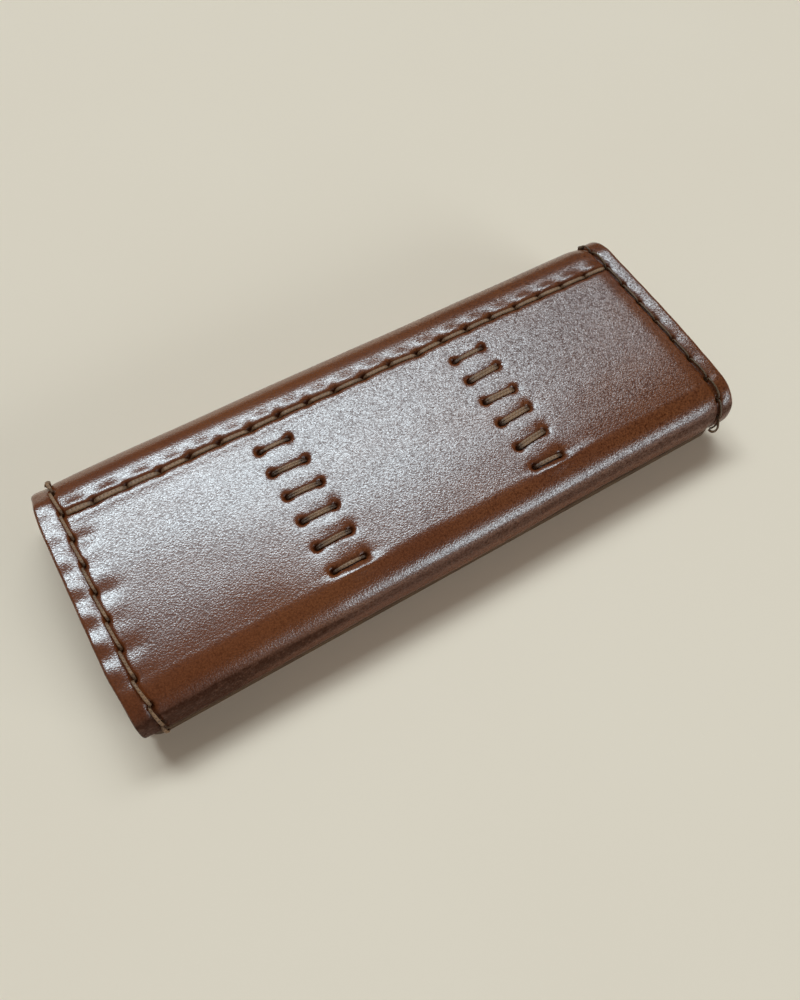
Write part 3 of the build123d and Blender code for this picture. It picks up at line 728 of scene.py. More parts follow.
# outer wrap, tray part ------------------------------------------------------
all_hole_x = [p[0] for p in SEAM] + [h[0] for r in ROWS.values() for pair in r for h in pair]
xs = spacing(-HALF, HALF, all_hole_x, 0.62, 0.19, 0.62)
xs = with_edges(xs, 0.5, 0.8)
hole_u = END_U + [r[0][1] for r in ROWS["left"]]
us = spacing(U_RIM, U_HINGE0, hole_u, 0.75, 0.20, 0.60)
us = with_edges(us, 0.5, 0.0)
Xg, Ug = np.meshgrid(xs, us, indexing="ij")
D, painted_shade = tray_relief(Xg, Ug)
fade = 1 - ramp(Ug, U_HINGE0 - 3.4, U_HINGE0 - 0.2)
D *= fade
painted_shade *= fade
r_edge = np.where(Xg < 0, 0.40, 0.55)
e_x = HALF - np.abs(Xg)
dr = drop(e_x, Ug - U_RIM, r_edge)
O = skin_points(Xg + edge_shift(Xg, Ug), Ug, D - dr)
raw = ramp(dr / r_edge, 0.45, 1.0)
ii = sorted({0, 2, 4, 5, len(xs) - 6, len(xs) - 5, len(xs) - 3, len(xs) - 1} | set(range(5, len(xs) - 5, 6)))
jj = sorted({0, 2, 4, 5, len(us) - 1} | set(range(5, len(us), 5)))
Xi, Ui = Xg[np.ix_(ii, jj)], Ug[np.ix_(ii, jj)]
dri = drop(HALF - np.abs(Xi), Ui - U_RIM, np.full_like(Xi, 0.35))
I = skin_points(Xi + edge_shift(Xi, Ui), Ui, -(T_WRAP - dri))
tray_wrap = closed_sheet("outer_wrap_tray", O, I, ii, jj, WRAP_MATS, raw, painted_shade,
                         raw_in=np.zeros_like(Xi), sharp=("s1",))
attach(tray_wrap, "tray")
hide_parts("tray_wrap")
print("tray wrap grid", O.shape, "faces", len(tray_wrap.data.polygons))

# outer wrap, bending part ---------------------------------------------------
def half_at(u):
    return HALF + (LID_HALF - HALF) * ramp(u, U_HINGE0 + 1, U_HINGE1 - 1)


xh = xs
uh = np.linspace(U_HINGE0, U_HINGE1, 34)
Xh, Uh = np.meshgrid(xh, uh, indexing="ij")
scale = half_at(Uh) / HALF
Dh = waves(Xh, Uh, 9, 0.05, 16.0) * ramp(Uh, U_HINGE0, U_HINGE0 + 3) * (1 - ramp(Uh, U_HINGE1 - 3, U_HINGE1))
Dh = np.minimum(Dh, 0.0)
r_h = np.where(Xh < 0, 0.40, 0.55)
drh = drop(HALF - np.abs(Xh), np.full_like(Xh, 9.0), r_h)
draw = edge_shift(Xh, np.full_like(Xh, 30.0)) * (1 - ramp(Uh, U_HINGE0 + 2, U_HINGE1 - 1))
O = skin_points(Xh * scale + draw, Uh, Dh - drh)
jh = list(range(0, 34, 3))
ih = ii
Xi, Ui = Xh[np.ix_(ih, jh)], Uh[np.ix_(ih, jh)]
dri = drop(HALF - np.abs(Xi), np.full_like(Xi, 9.0), np.full_like(Xi, 0.35))
I = skin_points(Xi * scale[np.ix_(ih, jh)] + draw[np.ix_(ih, jh)], Ui, -(T_WRAP - dri))
hinge = closed_sheet("outer_wrap_hinge", O, I, ih, jh, WRAP_MATS, ramp(drh / r_h, 0.25, 0.9),
                     None, sharp=("s0", "s1"))
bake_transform(hinge)
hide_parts("wrap_hinge")

# outer wrap, lid part -------------------------------------------------------
LX, LY0, LY1 = 46.1, -15.1, 12.4
NX, NY = 18, 5
ring = ([(-LX + 2 * LX * i / NX, LY0) for i in range(NX)]
        + [(LX, LY0 + (LY1 - LY0) * j / NY) for j in range(NY)]
        + [(LX - 2 * LX * i / NX, LY1) for i in range(NX)]
        + [(-LX, LY1 - (LY1 - LY0) * j / NY) for j in range(NY)])
ring_x = sorted({round(p[0], 3) for p in ring})
ring_y = sorted({round(p[1], 3) for p in ring})


def ring_distance(X, Y):
    """Distance from the rectangle of the lid's stitches."""
    dx, dy = np.abs(X) - LX, np.abs(Y - (LY0 + LY1) / 2) - (LY1 - LY0) / 2
    outside = np.hypot(np.maximum(dx, 0), np.maximum(dy, 0))
    inside = -np.maximum(dx, dy)
    return np.where((dx > 0) | (dy > 0), outside, inside)


def lid_relief(X, Y):
    d = ring_distance(X, Y)
    D = -0.42 * G(d, 0.46)
    # Painted shade along the stitch groove and in its holes.
    painted_shade = 0.30 * G(d, 0.6)
    for hx, hy in ring:
        D -= 0.42 * G(X - hx, 0.36) * G(Y - hy, 0.36)
        painted_shade += 0.9 * G(X - hx, 0.46) * G(Y - hy, 0.46)
    return D, np.clip(painted_shade, 0, 1)


xl = spacing(-HALF, HALF, ring_x, 0.5, 0.24, 0.8)
xl = with_edges(xl, 0.45, 0.45)
ul = spacing(U_HINGE1, U_LID1, [U_HINGE1 + CY - y for y in ring_y], 0.5, 0.24, 0.8)
ul = with_edges(ul, 0.0, 0.45)
Xl, Ul = np.meshgrid(xl, ul, indexing="ij")
Yl = CY - (Ul - U_HINGE1)
to_front = U_LID1 - Ul
corner = 3.0 - np.sqrt(np.maximum(0, 9.0 - np.maximum(0, 3.0 - to_front) ** 2))
half_l = LID_HALF - corner
Xs = Xl * (LID_HALF / HALF)
Xs = Xs - np.sign(Xl) * corner * ramp(np.abs(Xl), 49.0, HALF)
D, painted_shade = lid_relief(Xs, Yl)
D = D + np.minimum(waves(Xl, Ul, 12, 0.03, 18.0), 0) * ramp(Ul, U_HINGE1, U_HINGE1 + 3)
drl = drop(HALF - np.abs(Xl), to_front, np.full_like(Xl, 0.45))
O = skin_points(Xs, Ul, D - drl)
il = sorted({0, 2, 4, 5, len(xl) - 6, len(xl) - 5, len(xl) - 3, len(xl) - 1} | set(range(5, len(xl) - 5, 2)))
jl = sorted({0, len(ul) - 6, len(ul) - 5, len(ul) - 3, len(ul) - 1} | set(range(0, len(ul) - 5, 2)))
Xi, Ui, Yi = Xs[np.ix_(il, jl)], Ul[np.ix_(il, jl)], Yl[np.ix_(il, jl)]
dri = drop(HALF - np.abs(Xl[np.ix_(il, jl)]), U_LID1 - Ui, np.full_like(Xi, 0.35))
pocket = np.zeros_like(Xi)
for sx in (-1, 1):
    pocket = np.maximum(pocket, (1 - ramp(np.abs(Xi - sx * MAG_X), MAG_L / 2 + 0.1, MAG_L / 2 + 0.7))
                        * (1 - ramp(np.abs(Yi + 12.6), 2.1, 2.7)))
I = skin_points(Xi, Ui, -(T_WRAP - dri) + 1.08 * pocket)
lid = closed_sheet("outer_wrap_lid", O, I, il, jl, WRAP_MATS, ramp(drl / 0.45, 0.25, 0.9), painted_shade,
                   sharp=("s0",))
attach(lid, "lid")
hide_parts("lid_panel")
print("lid grid", O.shape)


# ------------------------------------------------------------ lid lining
def flat_slab(name, x0, x1, y0, y1, z0, z1, corner_r, relief, materials, edge_r=0.28, under=None,
              zones=((), ())):
    """A thin slab with rounded corners and edges. relief lifts its top face."""
    xa = with_edges(spacing(x0, x1, zones[0], 0.5, 0.24, 0.8), edge_r, edge_r)
    ya = with_edges(spacing(y0, y1, zones[1], 0.5, 0.24, 0.8), edge_r, edge_r)
    X, Y = np.meshgrid(xa, ya, indexing="ij")
    ey = np.minimum(Y - y0, y1 - Y)
    cut = corner_r - np.sqrt(np.maximum(0, corner_r ** 2 - np.maximum(0, corner_r - ey) ** 2))
    mid = (x0 + x1) / 2
    half = (x1 - x0) / 2
    Xm = X - np.sign(X - mid) * cut * ramp(np.abs(X - mid), half - 2.2 * corner_r, half)
    e = drop(half - np.abs(X - mid), ey, np.full_like(X, edge_r))
    D, painted_shade = relief(Xm, Y)
    O = np.stack([Xm, Y, z1 + D - e], 2)
    ii = sorted({0, 2, 4, 5, len(xa) - 6, len(xa) - 5, len(xa) - 3, len(xa) - 1} | set(range(5, len(xa) - 5, 3)))
    jj = sorted({0, 2, 4, 5, len(ya) - 6, len(ya) - 5, len(ya) - 3, len(ya) - 1} | set(range(5, len(ya) - 5, 3)))
    sub = np.ix_(ii, jj)
    ei = drop(half - np.abs(X[sub] - mid), ey[sub], np.full_like(X[sub], edge_r * 0.3))
    I = np.stack([Xm[sub], Y[sub], z0 + ei + (0 if under is None else under(Xm[sub], Y[sub]))], 2)
    return closed_sheet(name, O, I, ii, jj, materials, None, painted_shade)


def lining_relief(X, Y):
    d = ring_distance(X, Y)
    D = -0.22 * G(d, 0.50)
    # Painted shade along the stitches and in their holes.
    painted_shade = 0.25 * G(d, 0.6)
    for hx, hy in ring:
        D -= 0.22 * G(X - hx, 0.38) * G(Y - hy, 0.38)
        painted_shade += 0.8 * G(X - hx, 0.46) * G(Y - hy, 0.46)
    for sx in (-1, 1):                            # magnets print through
        D += 0.05 * (1 - ramp(np.abs(X - sx * MAG_X), 7.6, 9.0)) * (1 - ramp(np.abs(Y + 12.6), 1.6, 2.9))
    D += waves(X, Y, 21, 0.02, 11.0) * 0.6 - 0.02
    return D, np.clip(painted_shade, 0, 1)


lid_lining = flat_slab("lid_lining_sheet", -48.3, 48.3, -17.3, 14.6, T_WRAP + 0.01, T_WRAP + 0.7, 1.5,
                       lining_relief, LINING_MATS, 0.25, zones=(ring_x, ring_y))
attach(lid_lining, "lid")
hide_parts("lid_lining")


# ------------------------------------------------------------------ end panels
def end_panel(sign, name, node):
    """Recessed end panel, bent outward into a flange under the wrap."""
    # places along the section: up the front wall, over the top, down the spine
    u_a = with_edges(np.linspace(U_RIM + 0.05, U_HINGE0, 96), 0.0, 0.0)
    y, z, ny, nz = section(u_a)
    depth = T_WRAP + 0.03 + T_FLANGE / 2
    P = np.stack([y - ny * depth, z - nz * depth], 1)
    flange = np.full(len(P), 55.0 - 0.02)
    flange = flange - (flange - 51.3) * ramp(u_a, U_HINGE0 - 2.5, U_HINGE0)
    # the lower back corner has no flange, so that the spine can bend
    a = np.radians(np.linspace(0, -82, 16)[1:])
    rl = R - depth - 0.25
    low = np.stack([CY + rl * np.cos(a), CZ + rl * np.sin(a)], 1)
    P = np.concatenate([P, low])
    flange = np.concatenate([flange, np.linspace(51.2, 50.9, len(low))])
    n = len(P)
    # where each run ends, on the lower edge of the panel
    t = np.linspace(0, 1, n)
    arc = np.concatenate([[0], np.cumsum(np.linalg.norm(np.diff(P, axis=0), axis=1))])
    arc /= arc[-1]
    B = np.stack([np.interp(arc, [0, 0.16, 0.86, 1.0], [-15.6, -14.2, 12.6, 13.6]),
                  np.full(n, RIM_Z + 0.02)], 1)
    B[:, 1] += 0.0
    rb = 1.25
    rows = []
    for k in range(n):
        e = B[k] - P[k]
        L = np.linalg.norm(e)
        e = e / L
        r = min(rb, 0.42 * L)
        pts = []
        for x in np.linspace(flange[k], CAP_X + r, 9)[:-1]:
            pts.append((x, 0.0))
        for q in np.linspace(0, math.pi / 2, 7):
            pts.append((CAP_X + r - r * math.sin(q), r - r * math.cos(q)))
        for f in np.linspace(r, L, 12)[1:]:
            pts.append((CAP_X, f))
        rows.append([(sign * px, P[k, 0] + e[0] * off, P[k, 1] + e[1] * off) for px, off in pts])
    C = np.array(rows)
    N = grid_normals(C)
    # a little slack in the panel
    bulge = 0.35 * G((C[:, :, 1] - 0.0) / 18.0, 1.0) * ramp(C[:, :, 2], 3.0, 7.0) * (1 - ramp(C[:, :, 2], 7.0, 10.4))
    C[:, :, 0] += -sign * bulge * 0.6
    half_t = T_FLANGE / 2
    ek = np.minimum(np.arange(C.shape[1])[None, :] * 0.0 + np.abs(C[:, :, 0] - sign * flange[:, None]) , 9.0)
    ed = drop(ek, np.full_like(ek, 9.0), np.full_like(ek, 0.3))
    O = C + N * (half_t - ed)[:, :, None]
    I = C - N * (half_t - ed)[:, :, None]
    idx = list(range(C.shape[0]))
    jdx = list(range(C.shape[1]))
    # whether the outside of the leather faces out of the recess is worked out, but not used: both faces get the same
    # finish
    centre = N[n // 2, -3, 0] * sign
    flip = centre < 0
    obj = closed_sheet(name, O, I, idx, jdx, [EDGE, EDGE, EDGE], None, None)
    obj.data.materials.clear()
    for m in (PANEL_SKIN, EDGE, PANEL_SKIN):
        obj.data.materials.append(m)
    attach(obj, "tray")
    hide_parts(node)
    return obj


PANEL_SKIN = flesh_finish("panel_leather", (0.060, 0.020, 0.009), (0.118, 0.044, 0.018), 0.9)
end_panel(-1, "end_panel_left", "end_cap_left")
end_panel(1, "end_panel_right", "end_cap_right")


# ------------------------------------------------------------- strips of leather
def strip_line(points, radius, step=0.45):
    """Centre line of a bent strip in its section plane, corners rounded."""
    P = [np.array(p, float) for p in points]
    out = [P[0]]
    for k in range(1, len(P) - 1):
        a, b, c = P[k - 1], P[k], P[k + 1]
        r = radius[k - 1]
        t0 = (b - a) / np.linalg.norm(b - a)
        t1 = (c - b) / np.linalg.norm(c - b)
        turn = math.acos(np.clip(np.dot(t0, t1), -1, 1))
        d = r * math.tan(turn / 2)
        p0 = b - t0 * d
        n = np.array([-t0[1], t0[0]])
        sgn = 1 if np.dot(n, t1) > 0 else -1
        centre = p0 + n * sgn * r
        m = max(4, int(turn * r / 0.16))
        run = np.linalg.norm(p0 - out[-1])
        q = max(1, int(run / step))
        last = out[-1]
        for i in range(1, q + 1):
            out.append(last + (p0 - last) * i / q)
        for i in range(1, m + 1):
            a_ = turn * i / m * sgn
            v = p0 - centre
            out.append(centre + np.array([v[0] * math.cos(a_) - v[1] * math.sin(a_),
                                          v[0] * math.sin(a_) + v[1] * math.cos(a_)]))
    last = out[-1]
    q = max(1, int(np.linalg.norm(P[-1] - last) / step))
    for i in range(1, q + 1):
        out.append(last + (P[-1] - last) * i / q)
    return np.array(out)


def line_normals(L):
    T = np.gradient(L, axis=0)
    T /= np.linalg.norm(T, axis=1, keepdims=True)
    return np.stack([-T[:, 1], T[:, 0]], 1)


def strip(name, L, thick, plane, lo, hi, materials, r=0.3, relief=None):
    """A strip of leather bent along L and running from lo to hi along the third
    axis. plane is "yz" or "xz". lo and hi may vary along the strip."""
    Nn = line_normals(L)
    arc = np.concatenate([[0], np.cumsum(np.linalg.norm(np.diff(L, axis=0), axis=1))])
    lo = np.broadcast_to(np.asarray(lo, float), (len(L),))
    hi = np.broadcast_to(np.asarray(hi, float), (len(L),))
    span = float(np.max(hi - lo))
    t = with_edges(np.linspace(0, span, max(8, int(span / 1.1))), r, r)
    E = np.minimum(t, span - t)
    W = t[:, None] / span
    along = lo[None, :] * (1 - W) + hi[None, :] * W
    # the rounded ends keep their size however long the strip is there
    along = np.where(t[:, None] < r * 1.01, lo[None, :] + t[:, None], along)
    along = np.where(span - t[:, None] < r * 1.01, hi[None, :] - (span - t[:, None]), along)
    ends = np.minimum(arc, arc[-1] - arc)
    dd = drop(np.broadcast_to(E[:, None], along.shape), np.broadcast_to(ends[None, :], along.shape),
              np.full(along.shape, r))
    h = thick / 2 - dd
    ho = h + (0 if relief is None else relief(along, np.broadcast_to(arc[None, :], along.shape)))
    a, b = L[:, 0][None, :], L[:, 1][None, :]
    na, nb = Nn[:, 0][None, :], Nn[:, 1][None, :]
    if plane == "yz":
        O = np.stack([along, a + na * ho, b + nb * ho], 2)
        I = np.stack([along, a - na * h, b - nb * h], 2)
        flip = False
    else:
        O = np.stack([a + na * ho, along, b + nb * ho], 2)
        I = np.stack([a - na * h, along, b - nb * h], 2)
        flip = True
    return closed_sheet(name, O, I, list(range(O.shape[0])), list(range(O.shape[1])), materials,
                        flip=flip)


# inner back wall: flange under the floor, then down in front of the spine
L = strip_line([(10.62, 10.52), (15.70, 10.52), (15.70, 3.02)], [1.5])
L = np.concatenate([[L[0]], [L[0] + (L[1] - L[0]) * 0.3], L[1:-1], [L[-1] - (L[-1] - L[-2]) * 0.3], [L[-1]]])
inner_wall = strip("inner_back_wall_strip", L, 1.3, "yz", -48.9, 48.9, LINING_MATS)
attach(inner_wall, "tray")
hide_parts("inner_back_wall")

# dividers: one strip folded double, feet turned out under the floor
for sx, side in ((-1, "left"), (1, "right")):
    xc = sx * 18.33
    g = 0.61
    zt, zb = 10.62, 3.56
    L = strip_line([(xc - 4.88, zt), (xc - g, zt), (xc - g, zb - g * 1.0 + 0.02), (xc + g, zb - g * 1.0 + 0.02),
                    (xc + g, zt), (xc + 4.88, zt)], [1.0, 0.59, 0.59, 1.0], 0.4)
    L = np.concatenate([[L[0]], [L[0] + (L[1] - L[0]) * 0.35], L[1:-1], [L[-1] - (L[-1] - L[-2]) * 0.35], [L[-1]]])
    z = L[:, 1]
    web = np.abs(L[:, 0] - xc) < 1.3
    lo = np.where(web & (z < 9.9), -18.3, -16.1)
    lo = np.maximum(lo, -CY - np.sqrt(np.maximum(0.1, 4.15 ** 2 - np.maximum(0, z - CZ) ** 2)))
    lo = np.maximum(lo, np.where(z < 8.6, -17.85 + 0.28 * np.maximum(0, 4.9 - z), -99))
    hi = np.where(web & (z < 9.15), 14.88, 10.42)
    k = np.ones(3) / 3
    lo = np.convolve(np.pad(lo, 1, mode="edge"), k, "valid")
    hi = np.convolve(np.pad(hi, 1, mode="edge"), k, "valid")
    div = strip(f"divider_{side}_strip", L, 1.08, "xz", lo, hi, LINING_MATS, 0.25)
    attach(div, "tray")
    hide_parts(f"divider_{side}")

# front wall lining, which hides the magnets
uu = np.linspace(U_RIM + 0.42, -CY - R * math.radians(73.0), 30)
uu = np.concatenate([[uu[0], uu[0] + 0.12], uu[1:-1], [uu[-1] - 0.12, uu[-1]]])
y, z, ny, nz = section(uu)
xf = with_edges(spacing(-48.78, 48.78, [-41, -25, 25, 41], 0.9, 0.3, 1.2), 0.3, 0.3)
Xf, Uf = np.meshgrid(xf, uu, indexing="ij")
mag = np.zeros_like(Xf)
for sx in (-1, 1):
    mag = np.maximum(mag, (1 - ramp(np.abs(Xf - sx * MAG_X), 8.1, 8.9)) * (1 - ramp(Uf, U_RIM + 5.2, U_RIM + 5.9))
                     * ramp(Uf, U_RIM + 0.5, U_RIM + 0.8))
e = drop(48.78 - np.abs(Xf), np.minimum(Uf - uu[0], uu[-1] - Uf), np.full_like(Xf, 0.3))
back = skin_points(Xf, Uf, -(T_WRAP + 0.03) - e * 0.2 - 1.12 * mag)
face = skin_points(Xf, Uf, -(T_WRAP + 1.38) + e - 0.10 * mag)
front_lining = closed_sheet("front_lining_strip", back, face, list(range(len(xf))), list(range(len(uu))), LINING_MATS)
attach(front_lining, "tray")
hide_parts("front_lining")


# ----------------------------------------------------------------- the threads
X_DIR, Y_DIR, Z_DIR = np.array([1.0, 0, 0]), np.array([0, 1.0, 0]), np.array([0, 0, 1.0])


def saddle(holes, place, h_top, h_low, width, thick, slant=0.0, gap=0.12, gap_end=None, arch=0.05,
           closed=False, mids=3, lift=None, bend=0.34, shade=0.0):
    """Two threads that cross in every hole and cover every other stitch on each
    face. holes are places along the line, place(s, h, side) gives the point."""
    n = len(holes)
    gap_end = gap if gap_end is None else gap_end
    leave = gap if callable(gap) else (lambda k: gap)
    enter = gap_end if callable(gap_end) else (lambda k: gap_end)
    runs = []
    last = n if closed else n - 1
    for strand in (0, 1):
        pts, sides, extra = [], [], []

        def add(s, h, off, deep):
            p, a = place(s, h, off)
            pts.append(p)
            sides.append(a)
            extra.append(deep)

        for k in range(last):
            a = holes[k]
            b = holes[(k + 1) % n] if not closed or k + 1 < n else holes[0] + place.period
            up = (k % 2) == strand
            d = 1 if b > a else -1
            h = h_top if up else h_low
            sl = slant if up else 0.0
            lf = 0.0 if (lift is None or not up) else lift.get(k, 0.0)
            # The last value is painted shade on the thread: darker where it enters a hole; shade darkens the whole run.
            add(a + d * leave(k), (h_top - 0.04 if up else h_low), sl, max(shade, 0.35) if up else 0.3)
            for m in range(1, mids + 1):
                f = m / (mids + 1)
                add(a + (b - a) * f, h + (arch + lf) * math.sin(math.pi * f) * (1 if up else -1),
                    sl * (1 - 2 * f), shade)
            add(b - d * enter(k), (h_top - 0.06 if up else h_low), -sl, max(shade, 0.6) if up else 0.3)
        P, S, E = smooth_path(pts, sides, extra, bend)
        runs.append((P, S, E, width, thick))
    return runs


# long seam ---------------------------------------------------------------
seam_s = [p[0] for p in SEAM]


class SeamPlace:
    def __call__(self, s, h, off):
        y = np.interp(s, seam_s, [p[1] for p in SEAM])
        return np.array([s, y + off, TOP + h]), Y_DIR


low_seam = -(T_WRAP + 1.33 + 0.22)
hs = [seam_s[0] + 0.55] + seam_s[1:-1] + [seam_s[-1] - 0.55]
runs = saddle(hs, SeamPlace(), -0.07, low_seam, 0.70, 0.40, 0.04, lambda k: 0.26 if k < 3 or k > 15 else (0.58 if k < 9 else 0.42),
              lambda k: 0.36 if k < 3 or k > 15 else (0.74 if k < 9 else 0.56), 0.10, bend=0.50)
runs = [(P, S, E, 0.64 + 0.20 * ramp(-P[:, 0], 32.0, 40.0), th) for P, S, E, _, th in runs]
seam_thread = ribbons("seam_stitches", runs, THREAD)
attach(seam_thread, "tray")
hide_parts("seam_thread")


# end seams ---------------------------------------------------------------
class EndPlace:
    def __init__(self, line, side):
        self.line, self.side = line, side

    def __call__(self, s, h, off):
        u = -s                                    # s grows towards the front
        y, z, ny, nz = (float(a[0]) for a in section([u]))
        sink = -0.16 * float(ramp(-u, 17.5, 22.0)) if h > -1 else 0.0
        hh = h + sink
        return np.array([float(self.line(u)) + off * self.side, y + ny * hh, z + nz * hh]), X_DIR


end_s = [-u for u in END_U]
low_end = -(T_WRAP + T_FLANGE + 0.03 + 0.24)
runs_l = saddle(end_s, EndPlace(line_left, -1), -0.05, low_end, 0.47, 0.35, 0.21, 0.02, 0.52, 0.09,
                lift={0: 0.34, 1: 0.16, 9: 0.05, 10: 0.08}, bend=0.42)
# The right seam's thread lies sunk in its groove: shade paints it darker all along.
runs_r = saddle(end_s, EndPlace(line_right, 1), -0.30, low_end, 0.40, 0.32, 0.05, 0.20, 0.40, 0.06,
                lift={0: 0.50, 1: 0.34, 2: 0.10, 7: 0.14, 8: 0.10}, bend=0.42, shade=0.25)
# a slack loop of thread hangs out below the front edge, beside the last stitch
loop = [(52.1, -21.60, 7.3), (51.90, -22.02, 6.9), (51.65, -22.42, 6.6), (51.2, -22.68, 6.35),
        (50.65, -22.66, 6.2), (50.25, -22.32, 6.2), (50.15, -21.84, 6.3)]
P, S, E = smooth_path(loop, [Z_DIR] * len(loop), [0.0] * len(loop), 0.5, 0.12)
runs_r.append((P, S, E, 0.46, 0.38))


def knot(line, u0, u1, turns, radius, height):
    """A few turns of thread over the last stitch, pulled tight."""
    pts, sides = [], []
    for f in np.linspace(0, 1, int(turns * 10) + 1):
        u = u0 + (u1 - u0) * f
        y, z, ny, nz = (float(a[0]) for a in section([u]))
        a = 2 * math.pi * turns * f
        r = radius * (0.85 + 0.15 * math.sin(5 * f + u0))
        h = height + r * math.sin(a)
        pts.append(np.array([float(line(u)) + r * 1.15 * math.cos(a), y + ny * h, z + nz * h]))
        sides.append(np.array([0.0, -nz, ny]))
    # A little painted shade on the knot.
    P, S, E = smooth_path(pts, sides, [0.15] * len(pts), 0.3, 0.12)
    return (P, S, E, 0.40, 0.28)


runs_l.append(knot(line_left, 21.9, 19.9, 3.5, 0.36, -0.05))
runs_r.append(knot(line_right, 21.4, 20.2, 2.5, 0.30, -0.12))
end_l = ribbons("end_stitches_left", runs_l, THREAD)
end_r = ribbons("end_stitches_right", runs_r, THREAD_PAINTED_SHADE)
for o, node in ((end_l, "end_thread_left"), (end_r, "end_thread_right")):
    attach(o, "tray")
    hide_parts(node)

# divider stitches: down the ladder once, and back up over rows 5 to 2 --------
for side, rows in ROWS.items():
    low = TOP - T_WRAP - 1.1 - 0.05 - 0.2
    pts, sides, extra = [], [], []

    def add(x, y, z, s, e):
        pts.append(np.array([x, y, z]))
        sides.append(s)
        extra.append(e)


    order = [(k, 1 if k % 2 == 0 else -1, 0) for k in range(6)]
    order += [(k, -1 if k % 2 == 0 else 1, 1) for k in range(4, 0, -1)]
    for step, (k, way, second) in enumerate(order):
        (ax, ay), (bx, by) = rows[k]
        p, q = ((ax, ay), (bx, by)) if way > 0 else ((bx, by), (ax, ay))
        double = 1 <= k <= 4
        full = side == "right"                    # pulled less deep on this side
        off = (0.0 if not double else (-0.19 if not second else 0.20)) * (1.25 if full else 1.0)
        hz = TOP + (-0.01 if double else -0.04) - (0.12 if k == 5 else 0.0)
        inx = 0.14 * (1 if q[0] > p[0] else -1)
        add(p[0] + inx * 0.3, p[1] + off * 0.55, low, X_DIR, 0.4)
        add(p[0] + inx, p[1] + off * 0.7, hz - 0.30, Y_DIR, 1.0)
        # The last value of each point is painted shade on the thread, darkest where it goes down into a hole.
        sunk = ((0.09, 0.06, 0.55), (0.20, -0.03, 0.05)) if full and double else ((0.12, 0.12, 0.85), (0.26, 0.0, 0.22))
        for f, sag, e in sunk + ((0.5, -0.06, 0.0),) + tuple((1 - f, g, e) for f, g, e in sunk[::-1]):
            add(p[0] + (q[0] - p[0]) * f, p[1] + (q[1] - p[1]) * f + off, hz - sag, Y_DIR, e)
        add(q[0] - inx, q[1] + off * 0.7, hz - 0.30, Y_DIR, 1.0)
        add(q[0] - inx * 0.3, q[1] + off * 0.55, low, X_DIR, 0.4)
    P, S, E = smooth_path(pts, sides, extra, 0.32)
    single = np.maximum(G(P[:, 1] - rows[0][0][1], 1.2), G(P[:, 1] - rows[5][0][1], 1.2))
    o = ribbons(f"divider_stitches_{side}", [(P, S, E, (0.42 if side == "left" else 0.53) + 0.16 * single, 0.34)], THREAD)
    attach(o, "tray")
    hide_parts(f"divider_thread_{side}")


# lid stitches, round the lining --------------------------------------------
class RingPlace:
    pts = np.array(ring + [ring[0]])
    arc = np.concatenate([[0], np.cumsum(np.linalg.norm(np.diff(pts, axis=0), axis=1))])
    period = float(arc[-1])

    def __call__(self, s, h, off):
        s = s % self.period
        x = np.interp(s, self.arc, self.pts[:, 0])
        y = np.interp(s, self.arc, self.pts[:, 1])
        k = min(int(np.searchsorted(self.arc, s, side="right")) - 1, len(self.pts) - 2)
        d = self.pts[k + 1] - self.pts[k]
        d = d / np.linalg.norm(d)
        return np.array([x, y, h]), np.array([-d[1], d[0], 0.0])


place = RingPlace()
hs = [float(a) for a in place.arc[:-1]]
runs = saddle(hs, place, T_WRAP + 0.7 - 0.05, 0.37, 0.60, 0.32, 0.0, 0.14, 0.20, 0.03, closed=True, mids=3)
lid_thread = ribbons("lid_stitches", runs, THREAD)
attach(lid_thread, "lid")
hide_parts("lid_thread")

# the magnets keep their CAD shape
for node in ("tray_magnets", "lid_magnets"):
    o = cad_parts[node]
    o.data.materials.clear()
    o.data.materials.append(MAGNET)
    bev = o.modifiers.new("edge", "BEVEL")
    bev.width = 0.0001
    bev.segments = 2
    bev.limit_method = "ANGLE"

# ------------------------------------------------------------ floor and lights
def floor_finish():
    mat, nt, bsdf = node_tree("studio_floor")
    t = Tree(nt)
    co = t.coords()
    cloud = t.noise(co, 9, 3.0, 0.5)
    t.link(t.ramp(cloud, [(0.3, (0.925, 0.755, 0.600)), (0.7, (0.940, 0.775, 0.620))]), bsdf.inputs["Base Color"])
    bsdf.inputs["Roughness"].default_value = 0.75
    bsdf.inputs["Specular IOR Level"].default_value = 0.2
    return mat


mesh = bpy.data.meshes.new("studio_floor")
s = 3.0
mesh.from_pydata([(-s, -s, 0), (s, -s, 0), (s, s, 0), (-s, s, 0)], [], [(0, 1, 2, 3)])
mesh.materials.append(floor_finish())
floor = bpy.data.objects.new("studio_floor", mesh)
bpy.context.scene.collection.objects.link(floor)


def backdrop_finish():
    mat, nt, bsdf = node_tree("studio_backdrop")
    bsdf.inputs["Base Color"].default_value = (0, 0, 0, 1)
    bsdf.inputs["Specular IOR Level"].default_value = 0.0
    bsdf.inputs["Emission Color"].default_value = (0.670, 0.635, 0.540, 1)
    bsdf.inputs["Emission Strength"].default_value = 1.0
    mat.cycles.emission_sampling = "NONE"
    return mat


# A plain pale dome far round the case. It only shows behind it in low views
# and neither lights it nor shows in its gloss.
bm = bmesh.new()
bmesh.ops.create_uvsphere(bm, u_segments=96, v_segments=48, radius=2.8)
bmesh.ops.delete(bm, geom=[v for v in bm.verts if v.co.z < -0.3], context="VERTS")
mesh = bpy.data.meshes.new("studio_backdrop")
bm.to_mesh(mesh)
bm.free()
mesh.materials.append(backdrop_finish())
backdrop = bpy.data.objects.new("studio_backdrop", mesh)
bpy.context.scene.collection.objects.link(backdrop)
for kind in ("diffuse", "glossy", "transmission", "volume_scatter", "shadow"):
    setattr(backdrop, "visible_" + kind, False)


